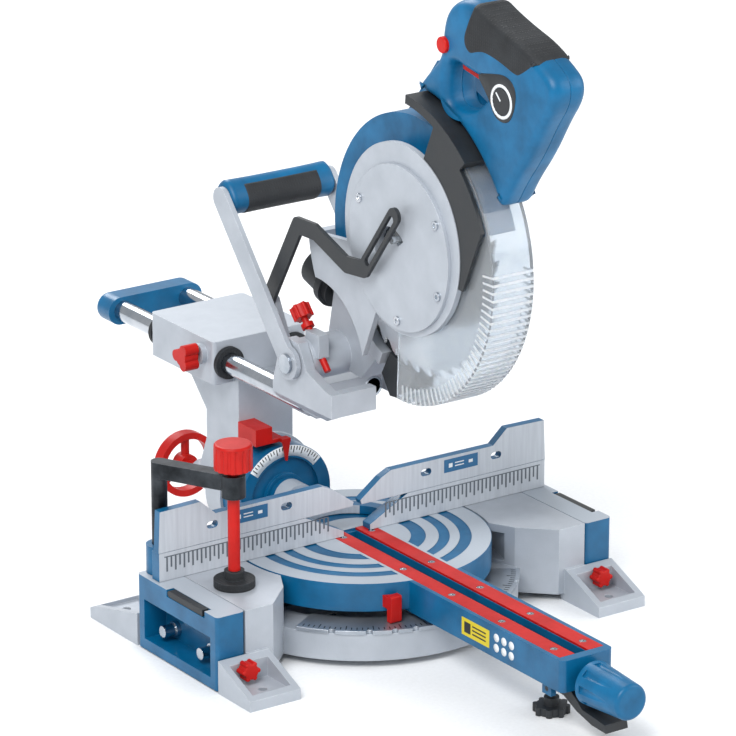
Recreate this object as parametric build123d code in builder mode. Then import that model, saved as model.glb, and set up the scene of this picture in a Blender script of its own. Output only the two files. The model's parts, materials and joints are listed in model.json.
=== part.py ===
"""Sliding compound mitre saw, modelled as separate pieces.

Millimetres. The origin is on the floor, under the centre of the turntable.
+X runs right along the fence, +Y away from the operator and +Z up.
"""

import os
from math import cos, hypot, radians, sin, tan

from build123d import *

os.makedirs("parts", exist_ok=True)

# ---- driving dimensions -------------------------------------------------
blade_radius = 127.0
blade_plate = 2.4
blade_teeth = 40
tooth_depth = 7.0
gap = 0.3  # standing clearance between pieces that move past each other
shaft_fit = 0.05  # radial clearance of a shaft in its bearing

table_top = 78.0
base_bottom = 8.0
base_half_width = 204.5
base_rear = 40.0
turntable_radius = 131.0
turntable_bottom = 49.0
ring_radius = 158.0
ring_top = 36.0
scale_plate_thickness = 4.0
scale_ring_radius = 159.5
scale_angle = 58.0
detent_angles = (0, 15, 22.5, 31.6, 45)

foot_hole_x = 208.7
foot_hole_front = -136.9
foot_hole_rear = 110.5
foot_hole_radius = 4.5
foot_floor = 10.0
foot_half_width = 29.0
foot_rim = 7.0
foot_recess_front = (-152.0, -112.0)
foot_recess_rear = (62.0, 126.0)

extension_inner = base_half_width + 3 * gap
extension_width = 32.4
extension_front = -101.5
extension_rear = 42.0
extension_wall = 7.0
guide_rod_radius = 6.0
guide_rod_z = 24.0
guide_rod_places = (-58.0, 10.0)
guide_rod_end = 72.0

arm_half_width = 30.5
arm_end = -376.0
arm_bottom = 45.6
kerf_half = 7.5
kerf_rear = 18.0
kerf_front = -362.0
kerf_plate_edge = 25.8
kerf_plate_thickness = 2.4
kerf_floor = table_top - 11.0
kerf_screw_x = 17.0
kerf_screw_places = (-345.0, -262.0, -180.0, -98.0, 6.0)

fence_face = 7.0
fence_thickness = 13.0
fence_step = 107.7
fence_half_length = 234.0
fence_inner = 16.0
sliding_fence_thickness = 9.0

bevel_axis_z = table_top
bracket_front = 136.0
bracket_rear = 170.0
bracket_radius = 55.0
bevel_bolt_radius = 7.0

column_half_width = 33.0
column_front = 172.0
column_rear = 233.0
column_foot_radius = 58.0
rail_x = 40.0
rail_z = 218.0
rail_radius = 11.0
rail_wall = 2.5
rail_front = 36.0
rail_rear = 401.0
slide_head = (181.0, 301.0)
slide_head_height = (196.0, 242.0)
cap_front = 382.0
cap_rear = 409.0

pivot_y, pivot_z = 31.0, 265.0
pivot_bolt_radius = 6.0
pivot_hub_radius = 22.0
ear_inner = 50.0
ear_outer = 61.0

blade_y, blade_z = -101.0, 407.6
shroud_radius = 133.0
shroud_half = 20.3
shroud_wall = 2.0
guard_radius = 151.0
guard_half = 23.6
guard_wall = 2.4
guard_start, guard_end = -92.0, 50.0
flange_x = (-31.0, -25.0)
flange_radius = 95.0
flange_y, flange_z = -113.0, 424.0
cover_y, cover_z = -113.0, 416.0
cover_radius = 82.0
cover_thickness = 4.0
arbor_radius = 8.0
blade_flange_radius = 22.0
guard_pin_radius = 3.5
guard_pin_offset = 21.0
guard_pin_angle = 55.0

motor_y, motor_z = -72.0, 492.0
motor_radius = 42.0
motor_x = (50.0, 124.0)
gear_case = (26.0, 50.0)
drive_pulley_radius = 14.0
driven_pulley_radius = 24.0
belt_x = (33.0, 43.0)
belt_thickness = 2.0

handle_middle = 6.0
handle_half = 20.0
handle_base_radius = 163.5

clamp_post = (-217.0, 32.0)
clamp_post_radius = 8.0
clamp_spindle = (-178.0, -41.0)
clamp_spindle_radius = 6.0
clamp_arm_z = (178.0, 194.0)


# ---- helpers ------------------------------------------------------------
def side(x):
    """The plane at this x, drawn in (y, z)."""
    return Plane(origin=(x, 0, 0), x_dir=(0, 1, 0), z_dir=(1, 0, 0))


def front(y):
    """The plane at this y, drawn in (x, z); it faces the operator."""
    return Plane(origin=(0, y, 0), x_dir=(1, 0, 0), z_dir=(0, -1, 0))


def level(z):
    """The level plane at this height, drawn in (x, y)."""
    return Plane.XY.offset(z)


def slab(plane, outline, depth, mode=Mode.ADD):
    """A flat piece with a straight-sided outline."""
    with BuildSketch(plane) as profile:
        Polygon(*outline, align=None)
    extrude(profile.sketch, amount=depth, mode=mode)


def bar(start, direction, length, radius, mode=Mode.ADD):
    """A round bar, or with Mode.SUBTRACT a round hole."""
    with BuildSketch(Plane(origin=start, z_dir=direction)) as profile:
        Circle(radius)
    extrude(profile.sketch, amount=length, mode=mode)


def block(x, y, z, mode=Mode.ADD, corner=0.0):
    """A box between two values on each axis, with its upright edges rounded."""
    with BuildSketch(level(z[0])) as profile:
        with Locations(((x[0] + x[1]) / 2, (y[0] + y[1]) / 2)):
            if corner:
                RectangleRounded(x[1] - x[0], y[1] - y[0], corner)
            else:
                Rectangle(x[1] - x[0], y[1] - y[0])
    extrude(profile.sketch, amount=z[1] - z[0], mode=mode)


def disc(plane, centre, radius, depth, mode=Mode.ADD, hole=0.0):
    """A round plate on a plane, with an optional hole in its middle."""
    with BuildSketch(plane) as profile:
        with Locations(centre):
            Circle(radius)
            if hole:
                Circle(hole, mode=Mode.SUBTRACT)
    extrude(profile.sketch, amount=depth, mode=mode)


def around(centre, radius, angle):
    """A point at this angle, counted up from the operator's side, in (y, z)."""
    return (
        centre[0] - radius * cos(radians(angle)),
        centre[1] + radius * sin(radians(angle)),
    )


def wedge(centre, reach, start, end, steps=8):
    """The outline of a pie slice in (y, z), wide enough to trim a ring."""
    spread = [start + (end - start) * n / steps for n in range(steps + 1)]
    return [centre] + [around(centre, reach, angle) for angle in spread]


def sector(x, inner, outer, start, end, mode=Mode.ADD, centre=(blade_y, blade_z)):
    """Part of a ring around the blade's axis, between two values of x."""
    with BuildSketch(side(x[0])) as profile:
        with Locations(centre):
            Circle(outer)
        Polygon(*wedge(centre, outer * 1.5, start, end), align=None, mode=Mode.INTERSECT)
        if inner:
            with Locations(centre):
                Circle(inner, mode=Mode.SUBTRACT)
    extrude(profile.sketch, amount=x[1] - x[0], mode=mode)


def mirrored(outline, sign):
    """The outline with its first coordinate turned to the side asked for."""
    return [(sign * u, v) for u, v in outline]


def strip(plane, points, half_width, depth, mode=Mode.ADD):
    """A flat strip of even width along straight stretches, with round ends and joints."""
    with BuildSketch(plane) as profile:
        for (u0, v0), (u1, v1) in zip(points, points[1:]):
            run = hypot(u1 - u0, v1 - v0)
            du, dv = -(v1 - v0) * half_width / run, (u1 - u0) * half_width / run
            Polygon(
                (u0 + du, v0 + dv),
                (u1 + du, v1 + dv),
                (u1 - du, v1 - dv),
                (u0 - du, v0 - dv),
                align=None,
            )
        with Locations(*points):
            Circle(half_width)
    extrude(profile.sketch, amount=depth, mode=mode)


def lobes(plane, centre, radius, count, size):
    """A knob's outline with grip lobes around it, as a sketch."""
    with BuildSketch(plane) as profile:
        with Locations(centre):
            Circle(radius)
            with PolarLocations(radius, count):
                Circle(size)
    return profile.sketch


def write(piece, name):
    """Label a finished piece and write it to its own STEP file."""
    piece.label = name
    export_step(piece, f"parts/{name}.step")


sides = {"left": -1, "right": 1}

# ---- base ---------------------------------------------------------------
wing_outline = [
    (base_half_width, -101.0),
    (172.5, -101.0),
    (140.0, -70.0),
    (124.0, -40.0),
    (110.0, base_rear),
    (base_half_width, base_rear),
]
foot_outer = foot_hole_x + foot_half_width
foot_inner = foot_hole_x - foot_half_width
front_foot = [(-159.0, 0), (-159.0, 11), (-150.0, 15), (-103.0, 34), (-103.0, 0)]
rear_foot = [(133.0, 0), (133.0, 11), (124.0, 15), (44.0, 34), (44.0, 0)]
lock_knob_x, lock_knob_z = 213.0, 24.0
lock_wall = (foot_recess_front[1], foot_recess_front[1] + 9.0)
lock_thread_radius = 4.0
ring_floor = 6.0  # thickness of the base ring's roof under the well
centre_post_radius = 30.0
well_radius = turntable_radius + 2.5
wing_pocket_x = (158.0, 196.0)
wing_pocket_y = (-84.0, 28.0)
wing_roof = 8.0
pointer_x = (-56.0, -44.0)
pointer_front = -134.0
pointer_way_radius = hypot(pointer_x[0], pointer_front) + 2.0
pointer_z = (ring_top + scale_plate_thickness + 0.5, 68.0)

with BuildPart() as base_casting:
    disc(level(base_bottom), (0, 0), ring_radius, ring_top - base_bottom)
    for sign in (-1, 1):
        slab(level(base_bottom), mirrored(wing_outline, sign), table_top - base_bottom)
        near, far = sorted((sign * foot_inner, sign * foot_outer))
        slab(side(near), front_foot, far - near)
        slab(side(near), rear_foot, far - near)
        near, far = sorted((sign * foot_inner, sign * base_half_width))
        block((near, far), (-104.0, -95.0), (0, 34.0))
        block((near, far), (base_rear - 5, 45.0), (0, 34.0))
    # the ring is hollow inside, with a post in the middle that the turntable rests on
    disc(
        level(base_bottom + ring_floor),
        (0, 0),
        well_radius - 15.5,
        ring_top - base_bottom - ring_floor,
        Mode.SUBTRACT,
        hole=centre_post_radius,
    )
    disc(level(ring_top), (0, 0), centre_post_radius, turntable_bottom - gap - ring_top)
    # the well that the turntable turns in
    disc(
        level(ring_top),
        (0, 0),
        well_radius,
        table_top - ring_top + 1,
        Mode.SUBTRACT,
        hole=centre_post_radius,
    )
    # the pointer passes under the wings' top at the ends of its swing
    disc(
        level(ring_top + scale_plate_thickness),
        (0, 0),
        pointer_way_radius,
        pointer_z[1] + 1.5 - ring_top - scale_plate_thickness,
        Mode.SUBTRACT,
        hole=centre_post_radius,
    )
    for sign in (-1, 1):
        # underside pocket of each wing
        near, far = sorted((sign * wing_pocket_x[0], sign * wing_pocket_x[1]))
        block((near, far), wing_pocket_y, (0.0, table_top - wing_roof), Mode.SUBTRACT)
        # foot recesses and bench bolt holes
        near, far = sorted((sign * (foot_inner + foot_rim), sign * (foot_outer - foot_rim)))
        for recess in (foot_recess_front, foot_recess_rear):
            block((near, far), recess, (foot_floor, 50.0), Mode.SUBTRACT)
        for hole_y in (foot_hole_front, foot_hole_rear):
            bar((sign * foot_hole_x, hole_y, -1), (0, 0, 1), 30.0, foot_hole_radius, Mode.SUBTRACT)
        # guide rod bores
        for rod_y in guide_rod_places:
            bar(
                (sign * (guide_rod_end - 6), rod_y, guide_rod_z),
                (sign, 0, 0),
                160.0,
                guide_rod_radius + shaft_fit,
                Mode.SUBTRACT,
            )
        # lock knob's threaded hole in the wall behind the front foot
        bar(
            (sign * lock_knob_x, lock_wall[0] - 5, lock_knob_z),
            (0, 1, 0),
            20.0,
            lock_thread_radius + shaft_fit,
            Mode.SUBTRACT,
        )
write(base_casting.part, "base_casting")

with BuildPart() as mitre_scale_plate:
    disc(level(ring_top), (0, 0), scale_ring_radius, scale_plate_thickness, hole=turntable_radius - 9)
    trim = [(0, 0)] + [
        (260 * sin(radians(a)), -260 * cos(radians(a)))
        for a in (-scale_angle, -30, 0, 30, scale_angle)
    ]
    slab(level(ring_top - 1), trim, scale_plate_thickness + 2, Mode.INTERSECT)
    for angle in sorted({sign * a for a in detent_angles for sign in (-1, 1)}):
        bar(
            (
                scale_ring_radius * sin(radians(angle)),
                -scale_ring_radius * cos(radians(angle)),
                ring_top - 1,
            ),
            (0, 0, 1),
            scale_plate_thickness + 2,
            3.2,
            Mode.SUBTRACT,
        )
write(mitre_scale_plate.part, "mitre_scale_plate")

# ---- table extensions ---------------------------------------------------
extension_outer = extension_inner + extension_width
extension_bottom = 1.5
stop_y = (-75.0, -16.0)
stop_z = 74.2
stop_half_height = 3.3
stop_x = (230.0, 237.4)
stop_pin_radius = 1.6

for hand, sign in sides.items():
    near, far = sorted((sign * extension_inner, sign * extension_outer))
    with BuildPart() as frame_casting:
        block((near, far), (extension_front, extension_rear), (extension_bottom, table_top), corner=4.0)
        # the open window in the end, with the rods behind it
        inner, outer = sorted((sign * (extension_inner + extension_wall), sign * (extension_outer + 1)))
        block(
            (inner, outer),
            (extension_front + 12, extension_rear - 12),
            (extension_bottom + 11, 54.0),
            Mode.SUBTRACT,
        )
        # the notch that the flip-up stop lies in
        inner, outer = sorted((sign * (stop_x[0] - gap), sign * (extension_outer + 1)))
        block(
            (inner, outer),
            (stop_y[0] - 5, stop_y[1] + stop_half_height + 1),
            (stop_z - stop_half_height - gap, table_top + 1),
            Mode.SUBTRACT,
        )
        bar(
            (sign * (stop_x[0] - 6), stop_y[1], stop_z),
            (sign, 0, 0),
            20.0,
            stop_pin_radius + shaft_fit,
            Mode.SUBTRACT,
        )
        for rod_y in guide_rod_places:
            bar(
                (sign * (extension_inner - 2), rod_y, guide_rod_z),
                (sign, 0, 0),
                extension_wall + 4,
                guide_rod_radius,
                Mode.SUBTRACT,
            )
    write(frame_casting.part, f"{hand}_extension_frame")

    with BuildPart() as guide_rods:
        for rod_y in guide_rod_places:
            bar(
                (sign * guide_rod_end, rod_y, guide_rod_z),
                (sign, 0, 0),
                extension_outer - 8 - guide_rod_end,
                guide_rod_radius,
            )
            # the collar that holds the rod in the frame
            bar(
                (sign * (extension_inner + extension_wall), rod_y, guide_rod_z),
                (sign, 0, 0),
                5.0,
                guide_rod_radius + 2,
            )
    write(guide_rods.part, f"{hand}_guide_rods")

    near, far = sorted((sign * stop_x[0], sign * stop_x[1]))
    with BuildPart() as stop_bar:
        block((near, far), stop_y, (stop_z - stop_half_height, stop_z + stop_half_height))
        bar((near, stop_y[1], stop_z), (1, 0, 0), far - near, stop_half_height)
        bar(
            (sign * (stop_x[0] - 5), stop_y[1], stop_z),
            (sign, 0, 0),
            stop_x[1] - stop_x[0] + 5,
            stop_pin_radius,
        )
    write(stop_bar.part, f"{hand}_stop_bar")

    with BuildPart() as extension_knob:
        bar(
            (sign * lock_knob_x, extension_front - gap, lock_knob_z),
            (0, -1, 0),
            extension_front - gap - lock_wall[0] + 2,
            lock_thread_radius,
        )
        extrude(
            lobes(front(lock_wall[0] - 1), (sign * lock_knob_x, lock_knob_z), 8.0, 6, 2.4),
            amount=12.0,
        )
        fillet(extension_knob.edges().group_by(Axis.Y)[0], 1.5)
    write(extension_knob.part, f"{hand}_extension_knob")

# ---- fences -------------------------------------------------------------
fence_bottom = table_top + gap
fence_back = fence_face + fence_thickness
fixed_outline = [
    (fence_inner, fence_bottom),
    (fence_inner, 84.0),
    (62.0, fence_step),
    (fence_half_length, fence_step),
    (fence_half_length, fence_bottom),
]
boss_radius = 14.0
with BuildPart() as fixed_fence:
    for sign in (-1, 1):
        slab(front(fence_back), mirrored(fixed_outline, sign), fence_thickness)
        for rib_x in (70.0, 118.0, 165.0):
            slab(
                side(sign * rib_x - 3),
                [(fence_back - 1, fence_bottom), (fence_back + 12, fence_bottom), (fence_back - 1, 86.0)],
                6.0,
            )
    # the bow that joins the two halves behind the blade
    disc(level(fence_bottom), (0, fence_back - 2), 58.0, 9.0, hole=46.0)
    block((-60, 60), (-60, fence_back - 4), (fence_bottom - 1, fence_bottom + 12), Mode.SUBTRACT)
    for sign in (-1, 1):
        slab(front(fence_back), mirrored(fixed_outline, sign), fence_thickness)
    # the boss that carries the clamp post
    bar((*clamp_post, fence_bottom), (0, 0, 1), fence_step - fence_bottom, boss_radius)
    bar((*clamp_post, fence_bottom + 5), (0, 0, 1), 40.0, clamp_post_radius + shaft_fit, Mode.SUBTRACT)
write(fixed_fence.part, "fixed_fence")

sliding_bottom = fence_step + gap
sliding_outline = [
    (4.0, 112.5),
    (5.5, sliding_bottom),
    (234.5, sliding_bottom),
    (232.5, 151.0),
    (185.5, 152.0),
    (168.0, 136.4),
    (41.5, 137.0),
    (29.2, 131.1),
]
leg = (fence_back + gap, fence_back + gap + 6.0)
leg_x = (75.0, 155.0)
slot_x = (84.6, 172.0)
fence_lock_x, fence_lock_z = 115.0, 97.0
for hand, sign in sides.items():
    with BuildPart() as sliding_fence:
        slab(
            front(fence_face + sliding_fence_thickness),
            mirrored(sliding_outline, sign),
            sliding_fence_thickness,
        )
        near, far = sorted((sign * leg_x[0], sign * leg_x[1]))
        block((near, far), (fence_face + sliding_fence_thickness - 1, leg[1]), (sliding_bottom, 118.0))
        block((near, far), leg, (88.0, 118.0))
        for x in slot_x:
            with BuildSketch(front(fence_face + 30)) as slot:
                with Locations((sign * x, 125.4)):
                    SlotOverall(13.0, 7.5)
            extrude(slot.sketch, amount=40.0, mode=Mode.SUBTRACT)
        bar(
            (sign * fence_lock_x, leg[0] - 1, fence_lock_z),
            (0, 1, 0),
            20.0,
            4.0 + shaft_fit,
            Mode.SUBTRACT,
        )
    write(sliding_fence.part, f"{hand}_sliding_fence")

    with BuildPart() as fence_lock:
        bar((sign * fence_lock_x, leg[0] + 0.2, fence_lock_z), (0, 1, 0), 12.0, 4.0)
        bar((sign * fence_lock_x, leg[1] + gap, fence_lock_z), (0, 1, 0), 9.0, 9.0)
        block(
            (sign * fence_lock_x - 5, sign * fence_lock_x + 5),
            (leg[1] + 2, leg[1] + 8),
            (fence_lock_z, fence_lock_z + 26),
        )
    write(fence_lock.part, f"{hand}_fence_lock")

# ---- turntable ----------------------------------------------------------
groove_bands = ((50.0, 65.0), (78.0, 89.0), (99.0, 111.0))
plate_floor = table_top - kerf_plate_thickness
neck_half = 42.0
knob_z = 53.0
spindle_radius = 5.0
support_foot_y = -320.0
stud_radius = 4.0
lever_axis = (-345.0, 39.0)
with BuildPart() as turntable:
    disc(level(turntable_bottom), (0, 0), turntable_radius, table_top - turntable_bottom)
    block((-arm_half_width, arm_half_width), (arm_end, -100.0), (arm_bottom, table_top), corner=6.0)
    block((-neck_half, neck_half), (90.0, bracket_front), (turntable_bottom, table_top))
    bar((0, bracket_front, bevel_axis_z), (0, -1, 0), 26.0, 20.0)
    for inner, outer in groove_bands:
        disc(level(table_top - 0.8), (0, 0), outer, 1.0, Mode.SUBTRACT, hole=inner)
    # the strip that carries the kerf plates stands at full height
    block((-29.0, 29.0), (-126.0, 29.0), (table_top - 1.0, table_top))
    disc(level(turntable_bottom - 1), (0, 0), 116.0, 17.0, Mode.SUBTRACT, hole=36.0)
    block((-25.0, 25.0), (arm_end + 9, -126.0), (arm_bottom - 1, 59.0), Mode.SUBTRACT)
    block(
        (-kerf_plate_edge - 0.2, kerf_plate_edge + 0.2),
        (kerf_front - 4, kerf_rear + 4),
        (plate_floor, table_top + 1),
        Mode.SUBTRACT,
    )
    block((-kerf_half, kerf_half), (kerf_front, kerf_rear), (kerf_floor, table_top + 1), Mode.SUBTRACT)
    for sign in (-1, 1):
        for screw_y in kerf_screw_places:
            bar((sign * kerf_screw_x, screw_y, 66.5), (0, 0, 1), 12.0, 2.0, Mode.SUBTRACT)
    bar((0, arm_end - 5, knob_z), (0, 1, 0), 30.0, spindle_radius + shaft_fit, Mode.SUBTRACT)
    bar((0, support_foot_y, arm_bottom), (0, 0, 1), 20.0, stud_radius + shaft_fit, Mode.SUBTRACT)
    bar((0, 90.0, bevel_axis_z), (0, 1, 0), 60.0, bevel_bolt_radius, Mode.SUBTRACT)
    bar((0, 111.0, bevel_axis_z), (0, 1, 0), 7.0, 10.5, Mode.SUBTRACT)
    # lugs that carry the detent lever's pin
    for sign in (-1, 1):
        near, far = sorted((sign * 19.0, sign * 25.0))
        block((near, far), (lever_axis[0] - 7, lever_axis[0] + 7), (lever_axis[1] - 6, 60.0))
    bar((-26.0, *lever_axis), (1, 0, 0), 52.0, 2.5 + shaft_fit, Mode.SUBTRACT)
write(turntable.part, "turntable")

with BuildPart() as kerf_plates:
    for sign in (-1, 1):
        near, far = sorted((sign * (kerf_half + 0.7), sign * kerf_plate_edge))
        block((near, far), (kerf_front - 3.5, kerf_rear + 3.5), (plate_floor, table_top))
        for screw_y in kerf_screw_places:
            bar((sign * kerf_screw_x, screw_y, plate_floor - 1), (0, 0, 1), 5.0, 2.1, Mode.SUBTRACT)
            bar((sign * kerf_screw_x, screw_y, table_top - 1.5), (0, 0, 1), 5.0, 3.8, Mode.SUBTRACT)
write(kerf_plates.part, "kerf_plates")

with BuildPart() as kerf_screws:
    for sign in (-1, 1):
        for screw_y in kerf_screw_places:
            bar((sign * kerf_screw_x, screw_y, 67.5), (0, 0, 1), 9.5, 1.95)
            bar((sign * kerf_screw_x, screw_y, table_top - 1.5), (0, 0, 1), 1.3, 3.7)
            with BuildSketch(level(table_top - 1.0)) as socket:
                with Locations((sign * kerf_screw_x, screw_y)):
                    RegularPolygon(1.6, 6)
            extrude(socket.sketch, amount=2.0, mode=Mode.SUBTRACT)
write(kerf_screws.part, "kerf_screws")

with BuildPart() as mitre_pointer:
    block(pointer_x, (pointer_front, pointer_front + 8), pointer_z)
    block(pointer_x, (pointer_front + 6, -112.0), (54.0, 66.0))
    disc(level(30.0), (0, 0), turntable_radius, 60.0, Mode.SUBTRACT)
    fillet(mitre_pointer.edges().filter_by(Axis.X).group_by(Axis.Y)[0], 2.0)
write(mitre_pointer.part, "mitre_pointer")

with BuildPart() as bevel_bracket:
    disc(front(bracket_rear), (0, bevel_axis_z), bracket_radius, bracket_rear - bracket_front)
    block((-70, 70), (bracket_front - 1, bracket_rear + 1), (0, turntable_bottom), Mode.SUBTRACT)
    disc(front(bracket_front + 4), (0, bevel_axis_z), 41.0, 6.0, Mode.SUBTRACT, hole=24.0)
    bar((0, bracket_front - 2, bevel_axis_z), (0, 1, 0), 60.0, bevel_bolt_radius, Mode.SUBTRACT)
write(bevel_bracket.part, "bevel_bracket")

with BuildPart() as bevel_hinge_bolt:
    bar((0, 118.0, bevel_axis_z), (0, 1, 0), column_front + 22 - 118.0, bevel_bolt_radius)
    bar((0, 118.0, bevel_axis_z), (0, -1, 0), 6.0, 10.0)
write(bevel_hinge_bolt.part, "bevel_hinge_bolt")

with BuildPart() as mitre_lock_knob:
    bar((0, arm_end + 24, knob_z), (0, -1, 0), 40.0, spindle_radius)
    with BuildSketch(front(arm_end - 9)) as wide_end:
        with Locations((0, knob_z)):
            Circle(22.0)
    with BuildSketch(front(arm_end - 68)) as narrow_end:
        with Locations((0, knob_z)):
            Circle(18.0)
    loft([wide_end.sketch.face(), narrow_end.sketch.face()])
    fillet(mitre_lock_knob.edges().group_by(Axis.Y)[0], 4.0)
    for n in range(8):
        angle = radians(45 * n)
        bar(
            (24.0 * sin(angle), arm_end - 14, knob_z + 24.0 * cos(angle)),
            (0, -1, 0),
            60.0,
            5.0,
            Mode.SUBTRACT,
        )
write(mitre_lock_knob.part, "mitre_lock_knob")

lever_outline = [
    (-338.0, 34.0),
    (-338.0, 43.5),
    (-366.0, 42.0),
    (-384.0, 28.5),
    (-420.0, 25.0),
    (-422.0, 17.0),
    (-400.0, 18.0),
    (-376.0, 24.0),
    (-356.0, 33.0),
]
with BuildPart() as detent_lever:
    slab(side(-13.0), lever_outline, 26.0)
    bar((-25.0, *lever_axis), (1, 0, 0), 50.0, 2.5)
write(detent_lever.part, "detent_lever")

with BuildPart() as support_foot:
    bar((0, support_foot_y, 6.0), (0, 0, 1), 57.0, stud_radius)
    extrude(lobes(level(0.5), (0, support_foot_y), 15.0, 8, 3.2), amount=8.0)
    bar((0, support_foot_y, 8.5), (0, 0, 1), 8.0, 7.5)
write(support_foot.part, "support_foot")

# ---- bevel column -------------------------------------------------------
disc_front = bracket_rear + gap
wheel_x, wheel_z = -23.0, 71.0
wheel_y = (284.0, 299.0)
wheel_radius = 35.0
boss_rear = 262.0
seal_thickness = 5.0
slide_knob_y, slide_knob_z = 203.0, 225.0
head_half = 57.0
with BuildPart() as column:
    disc(front(column_front + 26), (0, bevel_axis_z), column_foot_radius, column_front + 26 - disc_front)
    slab(
        front(column_rear),
        [
            (-46.0, bevel_axis_z),
            (-column_half_width, 120.0),
            (-column_half_width, slide_head_height[0] + 6),
            (column_half_width, slide_head_height[0] + 6),
            (column_half_width, 120.0),
            (46.0, bevel_axis_z),
        ],
        column_rear - column_front,
    )
    block((-head_half, head_half), slide_head, slide_head_height, corner=5.0)
    # shoulder that carries the slide head at the back
    slab(
        side(-column_half_width),
        [(column_rear - 1, 150.0), (column_rear - 1, 200.0), (slide_head[1] - 20, 200.0)],
        2 * column_half_width,
    )
    bar((wheel_x, column_front + 20, wheel_z), (0, 1, 0), boss_rear - column_front - 20, 14.0)
    bar((wheel_x, column_front + 40, wheel_z), (0, 1, 0), 90.0, 5.0 + shaft_fit, Mode.SUBTRACT)
    bar((0, disc_front - 1, bevel_axis_z), (0, 1, 0), 30.0, bevel_bolt_radius + shaft_fit, Mode.SUBTRACT)
    for sign in (-1, 1):
        bar(
            (sign * rail_x, slide_head[0] - 1, rail_z),
            (0, 1, 0),
            slide_head[1] - slide_head[0] + 2,
            rail_radius + shaft_fit,
            Mode.SUBTRACT,
        )
    bar((-head_half - 6, slide_knob_y, slide_knob_z), (1, 0, 0), 8.0, 11.0)
    bar(
        (-head_half - 8, slide_knob_y, slide_knob_z),
        (1, 0, 0),
        head_half + 8 - rail_x - rail_radius - 0.3,
        3.0 + shaft_fit,
        Mode.SUBTRACT,
    )
write(column.part, "column")

with BuildPart() as bevel_pointer:
    block((-34.0, 0.0), (139.0, column_front), (137.0, 141.0))
    block((-34.0, -14.0), (139.0, column_front), (137.0, 155.0))
    slab(front(135.4), [(-5.0, 141.0), (-1.0, 117.0), (1.0, 117.0), (5.0, 141.0)], 2.0)
    block((-5.0, 5.0), (133.4, 142.0), (137.0, 141.0))
write(bevel_pointer.part, "bevel_pointer")

with BuildPart() as rail_seals:
    for sign in (-1, 1):
        for start in (slide_head[0] - seal_thickness, slide_head[1]):
            disc(
                front(start + seal_thickness),
                (sign * rail_x, rail_z),
                rail_radius + 6,
                seal_thickness,
                hole=rail_radius + 0.2,
            )
write(rail_seals.part, "rail_seals")

with BuildPart() as bevel_lock_wheel:
    disc(
        front(wheel_y[1] - 1),
        (wheel_x, wheel_z),
        wheel_radius,
        wheel_y[1] - wheel_y[0] - 2,
        hole=wheel_radius - 7,
    )
    disc(front(wheel_y[1]), (wheel_x, wheel_z), 11.0, wheel_y[1] - wheel_y[0])
    for n in range(3):
        angle = radians(90 + 120 * n)
        bar(
            (wheel_x + 8 * cos(angle), (wheel_y[0] + wheel_y[1]) / 2, wheel_z + 8 * sin(angle)),
            (cos(angle), 0, sin(angle)),
            wheel_radius - 12,
            4.5,
        )
    bar((wheel_x, wheel_y[1] - 4, wheel_z), (0, -1, 0), wheel_y[1] - 4 - column_front - 42, 5.0)
write(bevel_lock_wheel.part, "bevel_lock_wheel")

with BuildPart() as slide_lock_knob:
    extrude(
        lobes(side(-head_half - 26), (slide_knob_y, slide_knob_z), 9.0, 3, 6.0),
        amount=16.0,
    )
    bar((-head_half - 12, slide_knob_y, slide_knob_z), (1, 0, 0), 12.0 + 5.0, 3.0)
write(slide_lock_knob.part, "slide_lock_knob")

# ---- slide carriage -----------------------------------------------------
with BuildPart() as rails:
    for sign in (-1, 1):
        bar((sign * rail_x, rail_front, rail_z), (0, 1, 0), rail_rear - rail_front, rail_radius)
        bar(
            (sign * rail_x, rail_front - 1, rail_z),
            (0, 1, 0),
            rail_rear - rail_front + 2,
            rail_radius - rail_wall,
            Mode.SUBTRACT,
        )
write(rails.part, "rails")

with BuildPart() as rail_end_cap:
    with BuildSketch(front(cap_rear)) as cap_profile:
        with Locations((0, rail_z)):
            SlotOverall(2 * (rail_x + 18.0), 30.0)
    extrude(cap_profile.sketch, amount=cap_rear - cap_front)
    fillet(rail_end_cap.edges().group_by(Axis.Y)[-1], 5.0)
    for sign in (-1, 1):
        bar(
            (sign * rail_x, cap_front - 1, rail_z),
            (0, 1, 0),
            rail_rear + 1 - cap_front,
            rail_radius,
            Mode.SUBTRACT,
        )
write(rail_end_cap.part, "rail_end_cap")

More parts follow.
